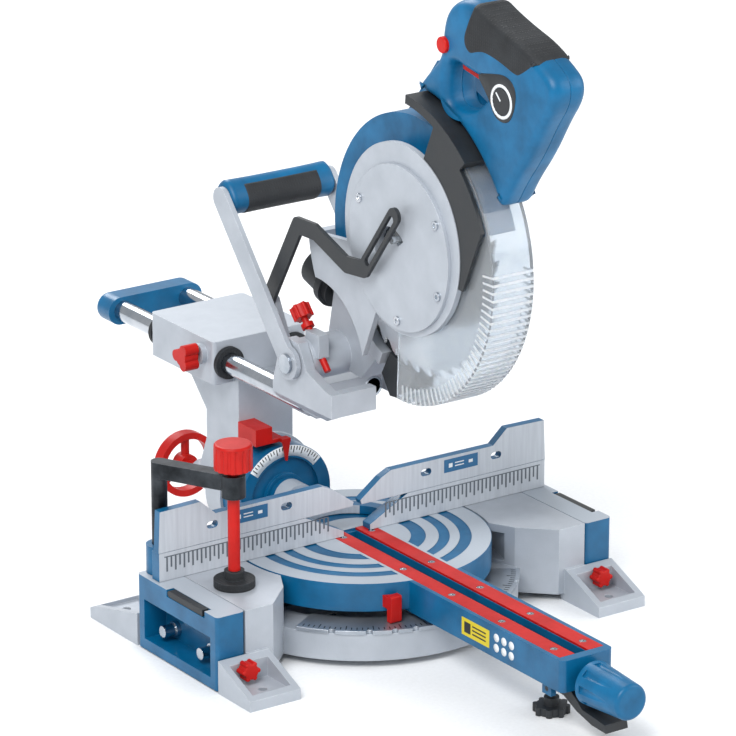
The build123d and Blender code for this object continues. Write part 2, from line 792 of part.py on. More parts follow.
ear_outline = [
    (66.0, 205.0),
    (66.0, 236.0),
    (52.0, 280.0),
    (40.0, 288.0),
    (20.0, 287.0),
    (6.0, 262.0),
    (-26.0, 251.0),
    (-38.0, 249.0),
    (-38.0, 225.0),
    (-10.0, 212.0),
    (12.0, 203.0),
]
link_pivot = (97.0, 308.0)
link_x = (-47.5, -43.5)
front_bar_y = (-38.0, -27.0)
yoke_corner = (36.0, 226.0)  # the lower corners are cut off between this x and this z
with BuildPart() as yoke:
    for sign in (-1, 1):
        bar((sign * rail_x, rail_front, rail_z), (0, 1, 0), 34.0, 16.5)
        near, far = sorted((sign * ear_inner, sign * ear_outer))
        slab(side(near), ear_outline, far - near)
    block((-ear_outer, ear_outer), (36.0, 66.0), (205.0, 231.0))
    block((-ear_outer, -8.0), front_bar_y, (225.0, 249.0))
    # the lug that carries the guard link
    slab(
        side(link_x[1] + 0.5),
        [(44.0, 226.0), (66.0, 226.0), (106.0, 306.0), (98.0, 316.0), (89.0, 312.0)],
        6.0,
    )
    # the flat the depth stop comes down on
    block((-46.0, -34.0), (18.0, 40.0), (205.0, 231.0))
    for sign in (-1, 1):
        slab(
            front(80.0),
            mirrored(
                [(yoke_corner[0], 200.0), (ear_outer + 1, 200.0), (ear_outer + 1, yoke_corner[1])],
                sign,
            ),
            130.0,
            Mode.SUBTRACT,
        )
        bar((sign * rail_x, rail_front, rail_z), (0, 1, 0), 60.0, rail_radius, Mode.SUBTRACT)
    bar((-80.0, pivot_y, pivot_z), (1, 0, 0), 160.0, pivot_bolt_radius, Mode.SUBTRACT)
    bar((-50.0, *link_pivot), (1, 0, 0), 30.0, 3.0, Mode.SUBTRACT)
write(yoke.part, "yoke")

# the pin also carries the arms of the carrying handle, outside the yoke's ears
carry_x = (ear_outer + 1.0, ear_outer + 6.5)
pin_head_radius = 10.0
pin_head = 3.0
with BuildPart() as pivot_pin:
    bar((-carry_x[1] - gap, pivot_y, pivot_z), (1, 0, 0), 2 * (carry_x[1] + gap), pivot_bolt_radius)
    for sign in (-1, 1):
        bar((sign * (carry_x[1] + gap), pivot_y, pivot_z), (sign, 0, 0), pin_head, pin_head_radius)
write(pivot_pin.part, "pivot_pin")

# ---- saw head -----------------------------------------------------------
pivot_axis = (pivot_y, pivot_z)
blade_centre = (blade_y, blade_z)
cheek_x = (-5.0, 40.0)
head_down_angle = 66.0
bevel_left_angle = 30.0
arm_outline = [
    (52.0, 268.0),
    (38.0, 335.0),
    (14.0, 372.0),
    (4.0, 398.0),
    (-20.0, 420.0),
    (-58.0, 420.0),
    (-66.0, 380.0),
    (-70.0, 316.0),
    (-8.0, 248.0),
    (14.0, 250.0),
]
case_outline = [
    (-124.0, 372.0),
    (-66.0, 356.0),
    (-6.0, 372.0),
    (20.0, 410.0),
    (8.0, 462.0),
    (-20.0, 497.0),
    (-53.0, 539.0),
    (-91.0, 587.0),
    (-140.0, 590.0),
    (-158.0, 560.0),
    (-232.0, 548.0),
    (-215.0, 500.0),
    (-150.0, 440.0),
    (-142.0, 392.0),
]
stop_axis_top = (43.0, 307.0)
stop_axis_low = (-1.0, 260.0)
stop_length = hypot(stop_axis_top[0] - stop_axis_low[0], stop_axis_top[1] - stop_axis_low[1])
stop_way = (
    0.0,
    (stop_axis_low[0] - stop_axis_top[0]) / stop_length,
    (stop_axis_low[1] - stop_axis_top[1]) / stop_length,
)
stop_x_place = -40.0
stop_nut_place = (
    stop_x_place,
    stop_axis_top[0] + 10 * stop_way[1],
    stop_axis_top[1] + 10 * stop_way[2],
)
duct_x, duct_y, duct_z = 17.5, -62.0, 282.0
duct_way = (0.0, 0.951, 0.309)
duct_radius = 13.0
duct_wall = 2.5
carry_top = (150.0, 404.0)
guard_swing = 120.0
slot_sweep = (guard_pin_angle - 16.0, guard_pin_angle + guard_swing + 16.0)
with BuildPart() as head_arm:
    # cover flange beside the blade guard
    disc(side(flange_x[0]), (flange_y, flange_z), flange_radius, flange_x[1] - flange_x[0])
    # bridge from the flange to the arm, behind the guard's sweep
    sector(flange_x, 0, flange_radius, 186.0, 246.0)
    sector((flange_x[0], gear_case[0]), 92.0, 148.0, 186.0, 246.0)
    slab(side(cheek_x[0]), arm_outline, cheek_x[1] - cheek_x[0])
    slab(side(gear_case[0]), case_outline, 40.0, Mode.SUBTRACT)
    bar((-ear_inner + 0.4, *pivot_axis), (1, 0, 0), 2 * (ear_inner - 0.4), pivot_hub_radius)
    block((-46.0, -34.0), (6.0, 30.0), (272.0, 296.0))
    # keep clear of the yoke's front bar as the head tilts
    disc(side(-ear_outer - 1), pivot_axis, 82.0, ear_outer - 6.0, Mode.SUBTRACT, hole=42.0)
    # keep clear of the guard's rim and of the shroud
    sector((-24.9, 24.9), 0, guard_radius + 1.2, -100.0, 182.0, Mode.SUBTRACT)
    sector((-24.9, 24.9), 0, shroud_radius + 0.5, 182.0, 260.0, Mode.SUBTRACT)
    sector((24.9, 60.0), 0, 92.0, 100.0, 260.0, Mode.SUBTRACT)
    bar((flange_x[1], *blade_centre), (1, 0, 0), 8.0, 13.0)
    sector((flange_x[0] - 1, flange_x[1] + 1), 15.5, 26.5, *slot_sweep, Mode.SUBTRACT)
    bar((-ear_inner, *pivot_axis), (1, 0, 0), 2 * ear_inner, pivot_bolt_radius + shaft_fit, Mode.SUBTRACT)
    bar((duct_x, duct_y - 40, duct_z - 13), duct_way, 200.0, duct_radius + gap, Mode.SUBTRACT)
    bar(
        (stop_x_place, *stop_axis_top),
        stop_way,
        stop_length + 40,
        3.5 + shaft_fit,
        Mode.SUBTRACT,
    )
write(head_arm.part, "head_arm")

cover_screw_angles = (-25.0, 32.0, 152.0, 270.0)
cover_screw_circle = cover_radius - 9.0
with BuildPart() as guard_cover_plate:
    disc(
        side(flange_x[0] - cover_thickness),
        (cover_y, cover_z),
        cover_radius,
        cover_thickness,
    )
    sector((flange_x[0] - cover_thickness - 1, flange_x[0] + 1), 15.5, 26.5, *slot_sweep, Mode.SUBTRACT)
    for angle in cover_screw_angles:
        bar(
            (flange_x[0] - cover_thickness - 1, *around((cover_y, cover_z), cover_screw_circle, angle)),
            (1, 0, 0),
            10.0,
            2.2,
            Mode.SUBTRACT,
        )
write(guard_cover_plate.part, "guard_cover_plate")

with BuildPart() as cover_screws:
    for angle in cover_screw_angles:
        place = around((cover_y, cover_z), cover_screw_circle, angle)
        bar((flange_x[0] - cover_thickness - 2, *place), (1, 0, 0), 2.0, 4.5)
        bar((flange_x[0] - cover_thickness, *place), (1, 0, 0), cover_thickness, 2.1)
        with BuildSketch(side(flange_x[0] - cover_thickness - 2)) as socket:
            with Locations(place):
                RegularPolygon(2.4, 6)
        extrude(socket.sketch, amount=1.2, mode=Mode.SUBTRACT)
write(cover_screws.part, "cover_screws")

shroud_angles = (20.0, 200.0)
neck_radius = 50.0
rim_left = -9.0  # the shroud narrows to this outside the step
step_radius = 100.0
with BuildPart() as inner_shroud:
    sector((rim_left, shroud_half), 0, shroud_radius, *shroud_angles)
    sector((-shroud_half, rim_left + shroud_wall), 0, step_radius, *shroud_angles)
    disc(side(shroud_half - shroud_wall), blade_centre, neck_radius, shroud_wall)
    for left, radius in ((rim_left, shroud_radius), (-shroud_half, step_radius)):
        sector(
            (left + shroud_wall, shroud_half - shroud_wall),
            0,
            radius - shroud_wall,
            shroud_angles[0] - 40,
            shroud_angles[1] + 40,
            Mode.SUBTRACT,
        )
    disc(side(-shroud_half - 1), blade_centre, 32.0, 6.0, Mode.SUBTRACT)
    disc(side(shroud_half - 5), blade_centre, 27.0, 10.0, Mode.SUBTRACT)
write(inner_shroud.part, "inner_shroud")

plate_x = (-30.0, -26.0)
bridge_radius = (153.0, 162.0)


def past_table(clearance, reach=400.0):
    """The outline, in (y, z), of what would come lower than this above the table with the head down."""
    toward = (sin(radians(head_down_angle)), cos(radians(head_down_angle)))
    depth = pivot_z - table_top - clearance
    foot = (pivot_y - depth * toward[0], pivot_z - depth * toward[1])
    run = (-toward[1] * reach, toward[0] * reach)
    edge = [(foot[0] - run[0], foot[1] - run[1]), (foot[0] + run[0], foot[1] + run[1])]
    return edge + [(u - toward[0] * reach, v - toward[1] * reach) for u, v in reversed(edge)]


with BuildPart() as front_cover:
    # the plate that stands beside the clear guard
    sector(plate_x, 0, guard_radius - 1, -5.0, 66.0)
    disc(side(plate_x[0] - 2), (flange_y, flange_z), flange_radius + gap, 10.0, Mode.SUBTRACT)
    sector((plate_x[0] - 1, plate_x[1] + 1), 0, 103.0, -10.0, 70.0, Mode.SUBTRACT)
    # the box over the guard's rim
    sector(plate_x, 104.0, bridge_radius[1], 46.0, 66.0)
    sector((plate_x[0], gear_case[0] - gap), *bridge_radius, 46.0, 84.0)
    disc(side(plate_x[0] - 2), (flange_y, flange_z), flange_radius + gap, 10.0, Mode.SUBTRACT)
    # clear of the table with the head down, upright or tilted to the left
    tilt_room = -plate_x[0] * tan(radians(bevel_left_angle)) + 2.0
    slab(side(plate_x[0] - 2), past_table(tilt_room), 10.0, Mode.SUBTRACT)
write(front_cover.part, "front_cover")

port_radius = 22.0
port_bore = 18.5


def along_duct(distance):
    """A point on the duct's axis, this far from its lower end."""
    return (duct_x, duct_y + distance * duct_way[1], duct_z + distance * duct_way[2])


with BuildPart() as dust_duct:
    bar(along_duct(0), duct_way, 140.0, duct_radius)
    bar(along_duct(124.0), duct_way, 44.0, port_radius)
    bar(along_duct(130.4), duct_way, 9.0, port_radius + 4)
    slab(
        side(duct_x - 19.0),
        [(-60.0, 300.0), (-96.0, 284.0), (-84.0, 258.0), (-92.0, 246.0), (-52.0, 242.0), (-38.0, 262.0)],
        34.0,
    )
    sector((duct_x - 30, duct_x + 30), 0, blade_radius + 3, -150.0, -60.0, Mode.SUBTRACT)
    bar(along_duct(6.0), duct_way, 170.0, duct_radius - duct_wall, Mode.SUBTRACT)
    bar(along_duct(136.7), duct_way, 60.0, port_bore, Mode.SUBTRACT)
    # the mouth that faces the blade
    slab(
        side(duct_x - 16.0),
        [(-58.0, 294.0), (-99.0, 288.0), (-99.0, 240.0), (-84.0, 250.0), (-56.0, 252.0), (-46.0, 266.0)],
        28.0,
        Mode.SUBTRACT,
    )
write(dust_duct.part, "dust_duct")

motor_centre = (motor_y, motor_z)
# rocker switches on the rear edge of the motor housing
switch_places = {"laser_switch": (-40.0, 522.5), "lamp_switch": (-21.0, 498.3)}
rocker_tilt = -51.8
rocker_x = (30.0, 46.0)
for name, place in switch_places.items():
    with BuildPart() as rocker:
        with BuildSketch(side(rocker_x[0])) as rocker_profile:
            with Locations(place):
                Rectangle(16.0, 6.0, rotation=rocker_tilt)
        extrude(rocker_profile.sketch, amount=rocker_x[1] - rocker_x[0])
        bar((rocker_x[0] - 2, *place), (1, 0, 0), rocker_x[1] - rocker_x[0] + 4, 1.5)
    write(rocker.part, name)

with BuildPart() as motor_housing:
    slab(side(gear_case[0]), case_outline, gear_case[1] - gear_case[0])
    disc(side(gear_case[0]), blade_centre, 44.0, gear_case[1] - gear_case[0])
    disc(side(gear_case[0]), motor_centre, motor_radius + 4, gear_case[1] - gear_case[0])
    disc(side(motor_x[0]), motor_centre, motor_radius, motor_x[1] - motor_x[0])
    fillet(motor_housing.edges().group_by(Axis.X)[-1], 5.0)
    # neck that stands on the shroud, through the guard's open side
    disc(side(shroud_half), blade_centre, neck_radius - 10, gear_case[0] - shroud_half)
    # belt chamber
    for centre, radius in ((blade_centre, driven_pulley_radius + 5), (motor_centre, drive_pulley_radius + 6)):
        disc(side(belt_x[0] - 2), centre, radius, 14.0, Mode.SUBTRACT)
    with BuildSketch(side(belt_x[0] - 2)) as chamber:
        Polygon(
            (blade_y - 27, blade_z + 8),
            (motor_y - 19, motor_z + 4),
            (motor_y + 19, motor_z - 4),
            (blade_y + 27, blade_z - 8),
            align=None,
        )
    extrude(chamber.sketch, amount=14.0, mode=Mode.SUBTRACT)
    bar((shroud_half - 1, *blade_centre), (1, 0, 0), 40.0, arbor_radius + shaft_fit, Mode.SUBTRACT)
    disc(side(54.0), motor_centre, motor_radius - 5, motor_x[1] - 58.0, Mode.SUBTRACT)
    bar((belt_x[0] - 4, *motor_centre), (1, 0, 0), 90.0, 5.0 + shaft_fit, Mode.SUBTRACT)
    for place in switch_places.values():
        with BuildSketch(side(rocker_x[0] - gap)) as rocker_room:
            with Locations(place):
                Rectangle(16.0 + 4 * gap, 12.0, rotation=rocker_tilt)
        extrude(rocker_room.sketch, amount=rocker_x[1] - rocker_x[0] + 2 * gap, mode=Mode.SUBTRACT)
        bar(
            (rocker_x[0] - 2.1, *place),
            (1, 0, 0),
            rocker_x[1] - rocker_x[0] + 4.2,
            1.5 + shaft_fit,
            Mode.SUBTRACT,
        )
    for n in range(9):
        disc(side(motor_x[1] - 2.5), (motor_y, motor_z - 28 + 7 * n), 1.6, 4.0, Mode.SUBTRACT)
write(motor_housing.part, "motor_housing")

handle_outline = [
    (-153.0, 612.0),
    (-155.0, 640.0),
    (-164.0, 658.0),
    (-180.0, 669.0),
    (-200.0, 672.0),
    (-222.0, 663.0),
    (-250.0, 655.0),
    (-280.0, 647.0),
    (-308.0, 635.0),
    (-326.0, 622.0),
    (-326.0, 606.0),
    (-309.0, 580.0),
    (-288.0, 545.0),
    (-262.0, 512.0),
    (-240.0, 480.0),
    (-100.0, 480.0),
    (-104.0, 562.0),
    (-126.0, 588.0),
]
opening_outline = [
    (-167.0, 610.0),
    (-196.0, 604.0),
    (-222.0, 601.0),
    (-228.0, 592.0),
    (-212.0, 578.0),
    (-202.0, 570.0),
    (-178.0, 564.0),
    (-162.0, 568.0),
    (-161.0, 592.0),
]
grip_outline = [
    (-206.0, 680.0),
    (-206.0, 664.0),
    (-192.0, 651.0),
    (-186.0, 637.0),
    (-190.0, 625.0),
    (-202.0, 620.0),
    (-218.0, 626.0),
    (-246.0, 622.0),
    (-274.0, 615.0),
    (-283.0, 621.0),
    (-300.0, 631.0),
    (-306.0, 650.0),
]
trigger_outline = [
    (-170.0, 613.5),
    (-176.0, 616.0),
    (-206.0, 609.5),
    (-209.0, 601.0),
    (-200.0, 597.0),
    (-172.0, 602.0),
]
trigger_room = [
    (-167.0, 612.0),
    (-174.0, 622.5),
    (-209.0, 615.5),
    (-212.0, 600.0),
    (-200.0, 594.0),
    (-170.0, 598.0),
]
handle_x = (handle_middle - handle_half, handle_middle + handle_half)
dial_place = (-250.0, 590.0)
lock_off_place = (-158.0, 624.0)
skin = 4.0


def grip_core():
    """The part of the handle's side view that lies inside the soft grip."""
    with BuildSketch() as core:
        Polygon(*handle_outline, align=None)
        offset(amount=-3.0)
        Polygon(*grip_outline, align=None, mode=Mode.INTERSECT)
    return core.sketch


for hand, near, far in (
    ("left", handle_x[0], handle_middle),
    ("right", handle_middle, handle_x[1]),
):
    outer_face = handle_x[0] if hand == "left" else handle_x[1]
    with BuildPart() as handle_half_shell:
        slab(side(near), handle_outline, far - near)
        face_edges = handle_half_shell.edges().group_by(Axis.X)[0 if hand == "left" else -1]
        fillet(face_edges, 7.0)
        sector((near - 1, far + 1), 0, handle_base_radius, -40.0, 190.0, Mode.SUBTRACT)
        slab(side(near - 1), opening_outline, far - near + 2, Mode.SUBTRACT)
        slab(side(near - 1), grip_outline, far - near + 2, Mode.SUBTRACT)
        core_near = near + skin if hand == "left" else near
        extrude(side(core_near) * grip_core(), amount=handle_half - skin)
        slab(side(handle_middle - 8.3), trigger_room, 16.6, Mode.SUBTRACT)
        bar((handle_x[0] - 1, *dial_place), (1, 0, 0), 7.0, 13.0 + gap, Mode.SUBTRACT)
        bar((handle_x[0] - 1, *dial_place), (1, 0, 0), 15.0, 3.0 + shaft_fit, Mode.SUBTRACT)
        bar((handle_x[0] - 1, *lock_off_place), (1, 0, 0), 8.0, 8.0 + gap, Mode.SUBTRACT)
        bar((handle_x[0] - 1, *lock_off_place), (1, 0, 0), 26.0, 2.5 + shaft_fit, Mode.SUBTRACT)
    write(handle_half_shell.part, f"handle_{hand}")

with BuildPart() as handle_grip:
    with BuildSketch(side(handle_x[0])) as grip_profile:
        Polygon(*handle_outline, align=None)
        Polygon(*grip_outline, align=None, mode=Mode.INTERSECT)
    extrude(grip_profile.sketch, amount=2 * handle_half)
    for group in (0, -1):
        fillet(handle_grip.edges().group_by(Axis.X)[group], 3.0)
    extrude(side(handle_x[0] + skin) * grip_core(), amount=2 * (handle_half - skin), mode=Mode.SUBTRACT)
write(handle_grip.part, "handle_grip")

with BuildPart() as trigger:
    slab(side(handle_middle - 8.0), trigger_outline, 16.0)
    fillet(trigger.edges().filter_by(Axis.X), 1.5)
write(trigger.part, "trigger")

with BuildPart() as lock_off_button:
    bar((handle_x[0] - 4, *lock_off_place), (1, 0, 0), 8.0, 8.0)
    bar((handle_x[0] + 3, *lock_off_place), (1, 0, 0), 14.0, 2.5)
    fillet(lock_off_button.edges().group_by(Axis.X)[0], 1.5)
write(lock_off_button.part, "lock_off_button")

with BuildPart() as speed_dial:
    bar((handle_x[0] - 1.5, *dial_place), (1, 0, 0), 6.5, 13.0)
    bar((handle_x[0] + 4, *dial_place), (1, 0, 0), 8.0, 3.0)
    for n in range(18):
        bar(
            (handle_x[0] - 3, *around(dial_place, 13.3, 20 * n)),
            (1, 0, 0),
            3.5,
            0.9,
            Mode.SUBTRACT,
        )
write(speed_dial.part, "speed_dial")

with BuildPart() as motor_armature:
    bar((belt_x[0] - 1.5, *motor_centre), (1, 0, 0), motor_x[1] - belt_x[0] - 4, 5.0)
    disc(side(58.0), motor_centre, 26.0, 46.0)
    disc(side(107.0), motor_centre, 33.0, 9.0)
    disc(side(belt_x[0]), motor_centre, drive_pulley_radius, belt_x[1] - belt_x[0])
write(motor_armature.part, "motor_armature")

reach = hypot(motor_y - blade_y, motor_z - blade_z)
along = ((motor_y - blade_y) / reach, (motor_z - blade_z) / reach)
across = (-along[1], along[0])
lean = (driven_pulley_radius - drive_pulley_radius) / reach
steady = (1 - lean**2) ** 0.5


def tangent(centre, radius, sign):
    """Where the belt's straight run leaves a pulley."""
    return tuple(centre[k] + radius * (sign * steady * across[k] + lean * along[k]) for k in (0, 1))


pulleys = ((blade_centre, driven_pulley_radius), (motor_centre, drive_pulley_radius))
with BuildPart() as drive_belt:
    for thickness, mode in ((belt_thickness + 0.1, Mode.ADD), (0.1, Mode.SUBTRACT)):
        with BuildSketch(side(belt_x[0] + 0.5)) as loop:
            for centre, radius in pulleys:
                with Locations(centre):
                    Circle(radius + thickness)
            Polygon(
                tangent(blade_centre, driven_pulley_radius + thickness, 1),
                tangent(motor_centre, drive_pulley_radius + thickness, 1),
                tangent(motor_centre, drive_pulley_radius + thickness, -1),
                tangent(blade_centre, driven_pulley_radius + thickness, -1),
                align=None,
            )
        extrude(loop.sketch, amount=belt_x[1] - belt_x[0] - 1, mode=mode)
write(drive_belt.part, "drive_belt")

blade_half = blade_plate / 2
with BuildPart() as arbor:
    bar((-blade_half - 5, *blade_centre), (1, 0, 0), belt_x[1] + blade_half + 5, arbor_radius)
    disc(side(blade_half), blade_centre, blade_flange_radius, 5.0)
    disc(side(belt_x[0]), blade_centre, driven_pulley_radius, belt_x[1] - belt_x[0])
    disc(side(-blade_half - 5), blade_centre, blade_flange_radius, 5.0)
    with BuildSketch(side(-blade_half - 10)) as bolt_head:
        with Locations(blade_centre):
            RegularPolygon(8.0, 6)
    extrude(bolt_head.sketch, amount=5.0)
write(arbor.part, "arbor")

tooth_step = 360.0 / blade_teeth
with BuildPart() as blade:
    blade_points = []
    for n in range(blade_teeth):
        start = n * tooth_step
        blade_points += [
            around(blade_centre, blade_radius, start),
            around(blade_centre, blade_radius - tooth_depth, start - 0.15 * tooth_step),
            around(blade_centre, blade_radius - tooth_depth, start + 0.25 * tooth_step),
            around(blade_centre, blade_radius - 1.5, start + 0.7 * tooth_step),
        ]
    slab(side(-blade_half), blade_points, blade_plate)
    bar((-blade_half - 1, *blade_centre), (1, 0, 0), blade_plate + 2, arbor_radius, Mode.SUBTRACT)
write(blade.part, "blade")

with BuildPart() as lower_guard:
    sector((-guard_half, guard_half), 0, guard_radius, guard_start, guard_end)
    sector(
        (-guard_half + guard_wall, guard_half - guard_wall),
        0,
        guard_radius - 3.0,
        guard_start - 40,
        guard_end + 40,
        Mode.SUBTRACT,
    )
    disc(side(guard_half - guard_wall - 1), blade_centre, 60.0, guard_wall + 2, Mode.SUBTRACT)
    disc(side(-guard_half), blade_centre, 34.0, guard_wall)
    disc(side(-guard_half - 1), blade_centre, 13.0 + shaft_fit, 5.0, Mode.SUBTRACT)
    bar(
        (-42.5, *around(blade_centre, guard_pin_offset, guard_pin_angle)),
        (1, 0, 0),
        42.5 - guard_half,
        guard_pin_radius,
    )
write(lower_guard.part, "lower_guard")

link_centre_line = [link_pivot, (42.0, 401.0), (12.0, 402.0), (-42.0, 383.0), (-72.0, 386.0), (-122.0, 452.0)]
with BuildPart() as guard_link:
    strip(side(link_x[0]), link_centre_line, 8.5, link_x[1] - link_x[0])
    strip(side(link_x[0] - 1), [(-79.0, 395.5), (-119.0, 448.0)], 4.0, 10.0, Mode.SUBTRACT)
    bar((link_x[1], *link_pivot), (1, 0, 0), 6.4, 3.0 - shaft_fit)
    bar((link_x[0] - 3, *link_pivot), (1, 0, 0), 3.0, 6.0)
write(guard_link.part, "guard_link")

with BuildPart() as depth_stop:
    bar((stop_x_place, *stop_axis_top), stop_way, stop_length, 3.5)
    knob_start = (
        stop_x_place,
        stop_axis_top[0] + 4 * stop_way[1],
        stop_axis_top[1] + 4 * stop_way[2],
    )
    with BuildSketch(Plane(origin=knob_start, z_dir=tuple(-v for v in stop_way))) as knob_profile:
        Circle(8.5)
        with PolarLocations(8.5, 6):
            Circle(2.0)
    extrude(knob_profile.sketch, amount=14.0)
    bar(stop_nut_place, stop_way, 5.0, 6.5)
write(depth_stop.part, "depth_stop")

# ---- carrying handle ----------------------------------------------------
carry_line = [pivot_axis, carry_top]
grip_length = 2 * carry_x[0] - 2 * gap
with BuildPart() as carry_handle_frame:
    for sign in (-1, 1):
        near, far = sorted((sign * carry_x[0], sign * carry_x[1]))
        strip(side(near), carry_line, 12.0, far - near)
        bar((near, *pivot_axis), (1, 0, 0), far - near, 17.0)
        bar((sign * (ear_outer - 15.0), *carry_top), (sign, 0, 0), carry_x[0] - ear_outer + 15.5, 5.0)
    # the bore for the pin that both arms and the saw arm turn on
    bar(
        (-carry_x[1] - 1, *pivot_axis),
        (1, 0, 0),
        2 * carry_x[1] + 2,
        pivot_bolt_radius + shaft_fit,
        Mode.SUBTRACT,
    )
write(carry_handle_frame.part, "carry_handle_frame")

with BuildPart() as carry_handle_grip:
    with BuildSketch(side(-carry_x[0] + gap)) as grip_section:
        with Locations(carry_top):
            RectangleRounded(34.0, 30.0, 11.0, rotation=50)
    extrude(grip_section.sketch, amount=grip_length)
    for sign in (-1, 1):
        bar((sign * 45.0, *carry_top), (sign, 0, 0), 30.0, 5.0, Mode.SUBTRACT)
write(carry_handle_grip.part, "carry_handle_grip")

# ---- clamp --------------------------------------------------------------
post_top = clamp_arm_z[1] - 4
with BuildPart() as clamp_bracket:
    bar((*clamp_post, fence_bottom + 5.5), (0, 0, 1), post_top - fence_bottom - 5.5, clamp_post_radius)
    arm_line = [clamp_post, clamp_spindle]
    strip(level(clamp_arm_z[0]), arm_line, 8.0, clamp_arm_z[1] - clamp_arm_z[0])
    bar((*clamp_spindle, clamp_arm_z[0] - 7), (0, 0, 1), clamp_arm_z[1] - clamp_arm_z[0] + 7, 12.0)
    spindle_bore = clamp_spindle_radius + shaft_fit
    bar((*clamp_spindle, clamp_arm_z[0] - 10), (0, 0, 1), 60.0, spindle_bore, Mode.SUBTRACT)
write(clamp_bracket.part, "clamp_bracket")

clamp_knob_z = (clamp_arm_z[1] + 6, clamp_arm_z[1] + 32)
pad_z = (table_top + gap, 86.0)
with BuildPart() as clamp_screw:
    bar((*clamp_spindle, pad_z[1] + 2), (0, 0, 1), clamp_knob_z[0] - pad_z[1], clamp_spindle_radius)
    bar((*clamp_spindle, clamp_knob_z[0]), (0, 0, 1), clamp_knob_z[1] - clamp_knob_z[0], 19.0)
    for n in range(16):
        angle = radians(22.5 * n)
        bar(
            (
                clamp_spindle[0] + 20.5 * cos(angle),
                clamp_spindle[1] + 20.5 * sin(angle),
                clamp_knob_z[0] - 1,
            ),
            (0, 0, 1),
            24.0,
            2.6,
            Mode.SUBTRACT,
        )
    fillet(clamp_screw.edges().group_by(Axis.Z)[-1], 2.5)
write(clamp_screw.part, "clamp_screw")

with BuildPart() as clamp_pad:
    bar((*clamp_spindle, pad_z[0]), (0, 0, 1), pad_z[1] - pad_z[0], 20.5)
    bar((*clamp_spindle, pad_z[1]), (0, 0, 1), 9.0, 10.0)
    bar((*clamp_spindle, pad_z[1] + 2 - gap), (0, 0, 1), 20.0, spindle_bore, Mode.SUBTRACT)
write(clamp_pad.part, "clamp_pad")
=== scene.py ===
"""Looks of a sliding mitre saw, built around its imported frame.

The frame carries every working piece. This script gives each of them its finish and adds the moulded,
ribbed, printed and fluted surfaces that sit on them. Each operator makes one piece or one group of like
pieces, the panel lists them, and main() calls them in order. Lengths are in metres.
"""
import json
from math import cos, pi, radians, sin, tau

import bmesh
import bpy
import numpy as np
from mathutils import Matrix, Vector
from mathutils.geometry import delaunay_2d_cdt


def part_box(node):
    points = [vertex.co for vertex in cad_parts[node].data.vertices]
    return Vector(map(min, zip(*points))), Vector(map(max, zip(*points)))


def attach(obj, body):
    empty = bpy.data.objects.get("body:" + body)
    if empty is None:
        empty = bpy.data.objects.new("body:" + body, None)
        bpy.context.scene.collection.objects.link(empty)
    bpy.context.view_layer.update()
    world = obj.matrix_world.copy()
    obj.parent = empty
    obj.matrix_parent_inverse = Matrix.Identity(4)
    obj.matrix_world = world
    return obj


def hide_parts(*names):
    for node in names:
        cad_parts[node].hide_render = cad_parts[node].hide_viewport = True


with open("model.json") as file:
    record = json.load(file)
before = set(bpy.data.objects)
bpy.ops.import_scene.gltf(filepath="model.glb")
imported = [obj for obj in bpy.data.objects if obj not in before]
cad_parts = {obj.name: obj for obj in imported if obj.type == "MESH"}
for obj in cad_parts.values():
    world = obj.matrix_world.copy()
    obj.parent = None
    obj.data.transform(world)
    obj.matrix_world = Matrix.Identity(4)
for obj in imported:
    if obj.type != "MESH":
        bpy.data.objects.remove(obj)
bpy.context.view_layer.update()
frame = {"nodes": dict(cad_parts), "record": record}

bl_info = {
    "name": "Sliding mitre saw looks",
    "version": (1, 0, 0),
    "blender": (4, 5, 0),
    "location": "View3D > Sidebar > Mitre saw",
    "description": "Finishes and fine detail of a sliding mitre saw",
    "category": "Object",
}

MM = 0.001


# ---------------------------------------------------------------- colours and node helpers

def linear(code):
    """An sRGB hex colour as linear RGBA: each channel c becomes ((c + 0.055) / 1.055) ** 2.4, or c / 12.92."""
    channels = [int(code[i:i + 2], 16) / 255 for i in (0, 2, 4)]
    return tuple(c / 12.92 if c <= 0.04045 else ((c + 0.055) / 1.055) ** 2.4 for c in channels) + (1.0,)


def colour_property(name, code, description):
    """A colour that a user may change, with its default from a hex code."""
    return bpy.props.FloatVectorProperty(
        name=name, description=description, subtype="COLOR", size=4, min=0.0, max=1.0, default=linear(code))


def length_property(name, default, description):
    """A length that a user may change, in metres."""
    return bpy.props.FloatProperty(
        name=name, description=description, default=default, min=0.0, unit="LENGTH", precision=4)


def add(tree, kind, inputs=None, **settings):
    """Add one node: set its settings, then give each input a value, or a link where the value is a socket."""
    node = tree.nodes.new(kind)
    for key, value in settings.items():
        setattr(node, key, value)
    for key, value in (inputs or {}).items():
        if isinstance(value, bpy.types.NodeSocket):
            tree.links.new(value, node.inputs[key])
        else:
            node.inputs[key].default_value = value
    return node


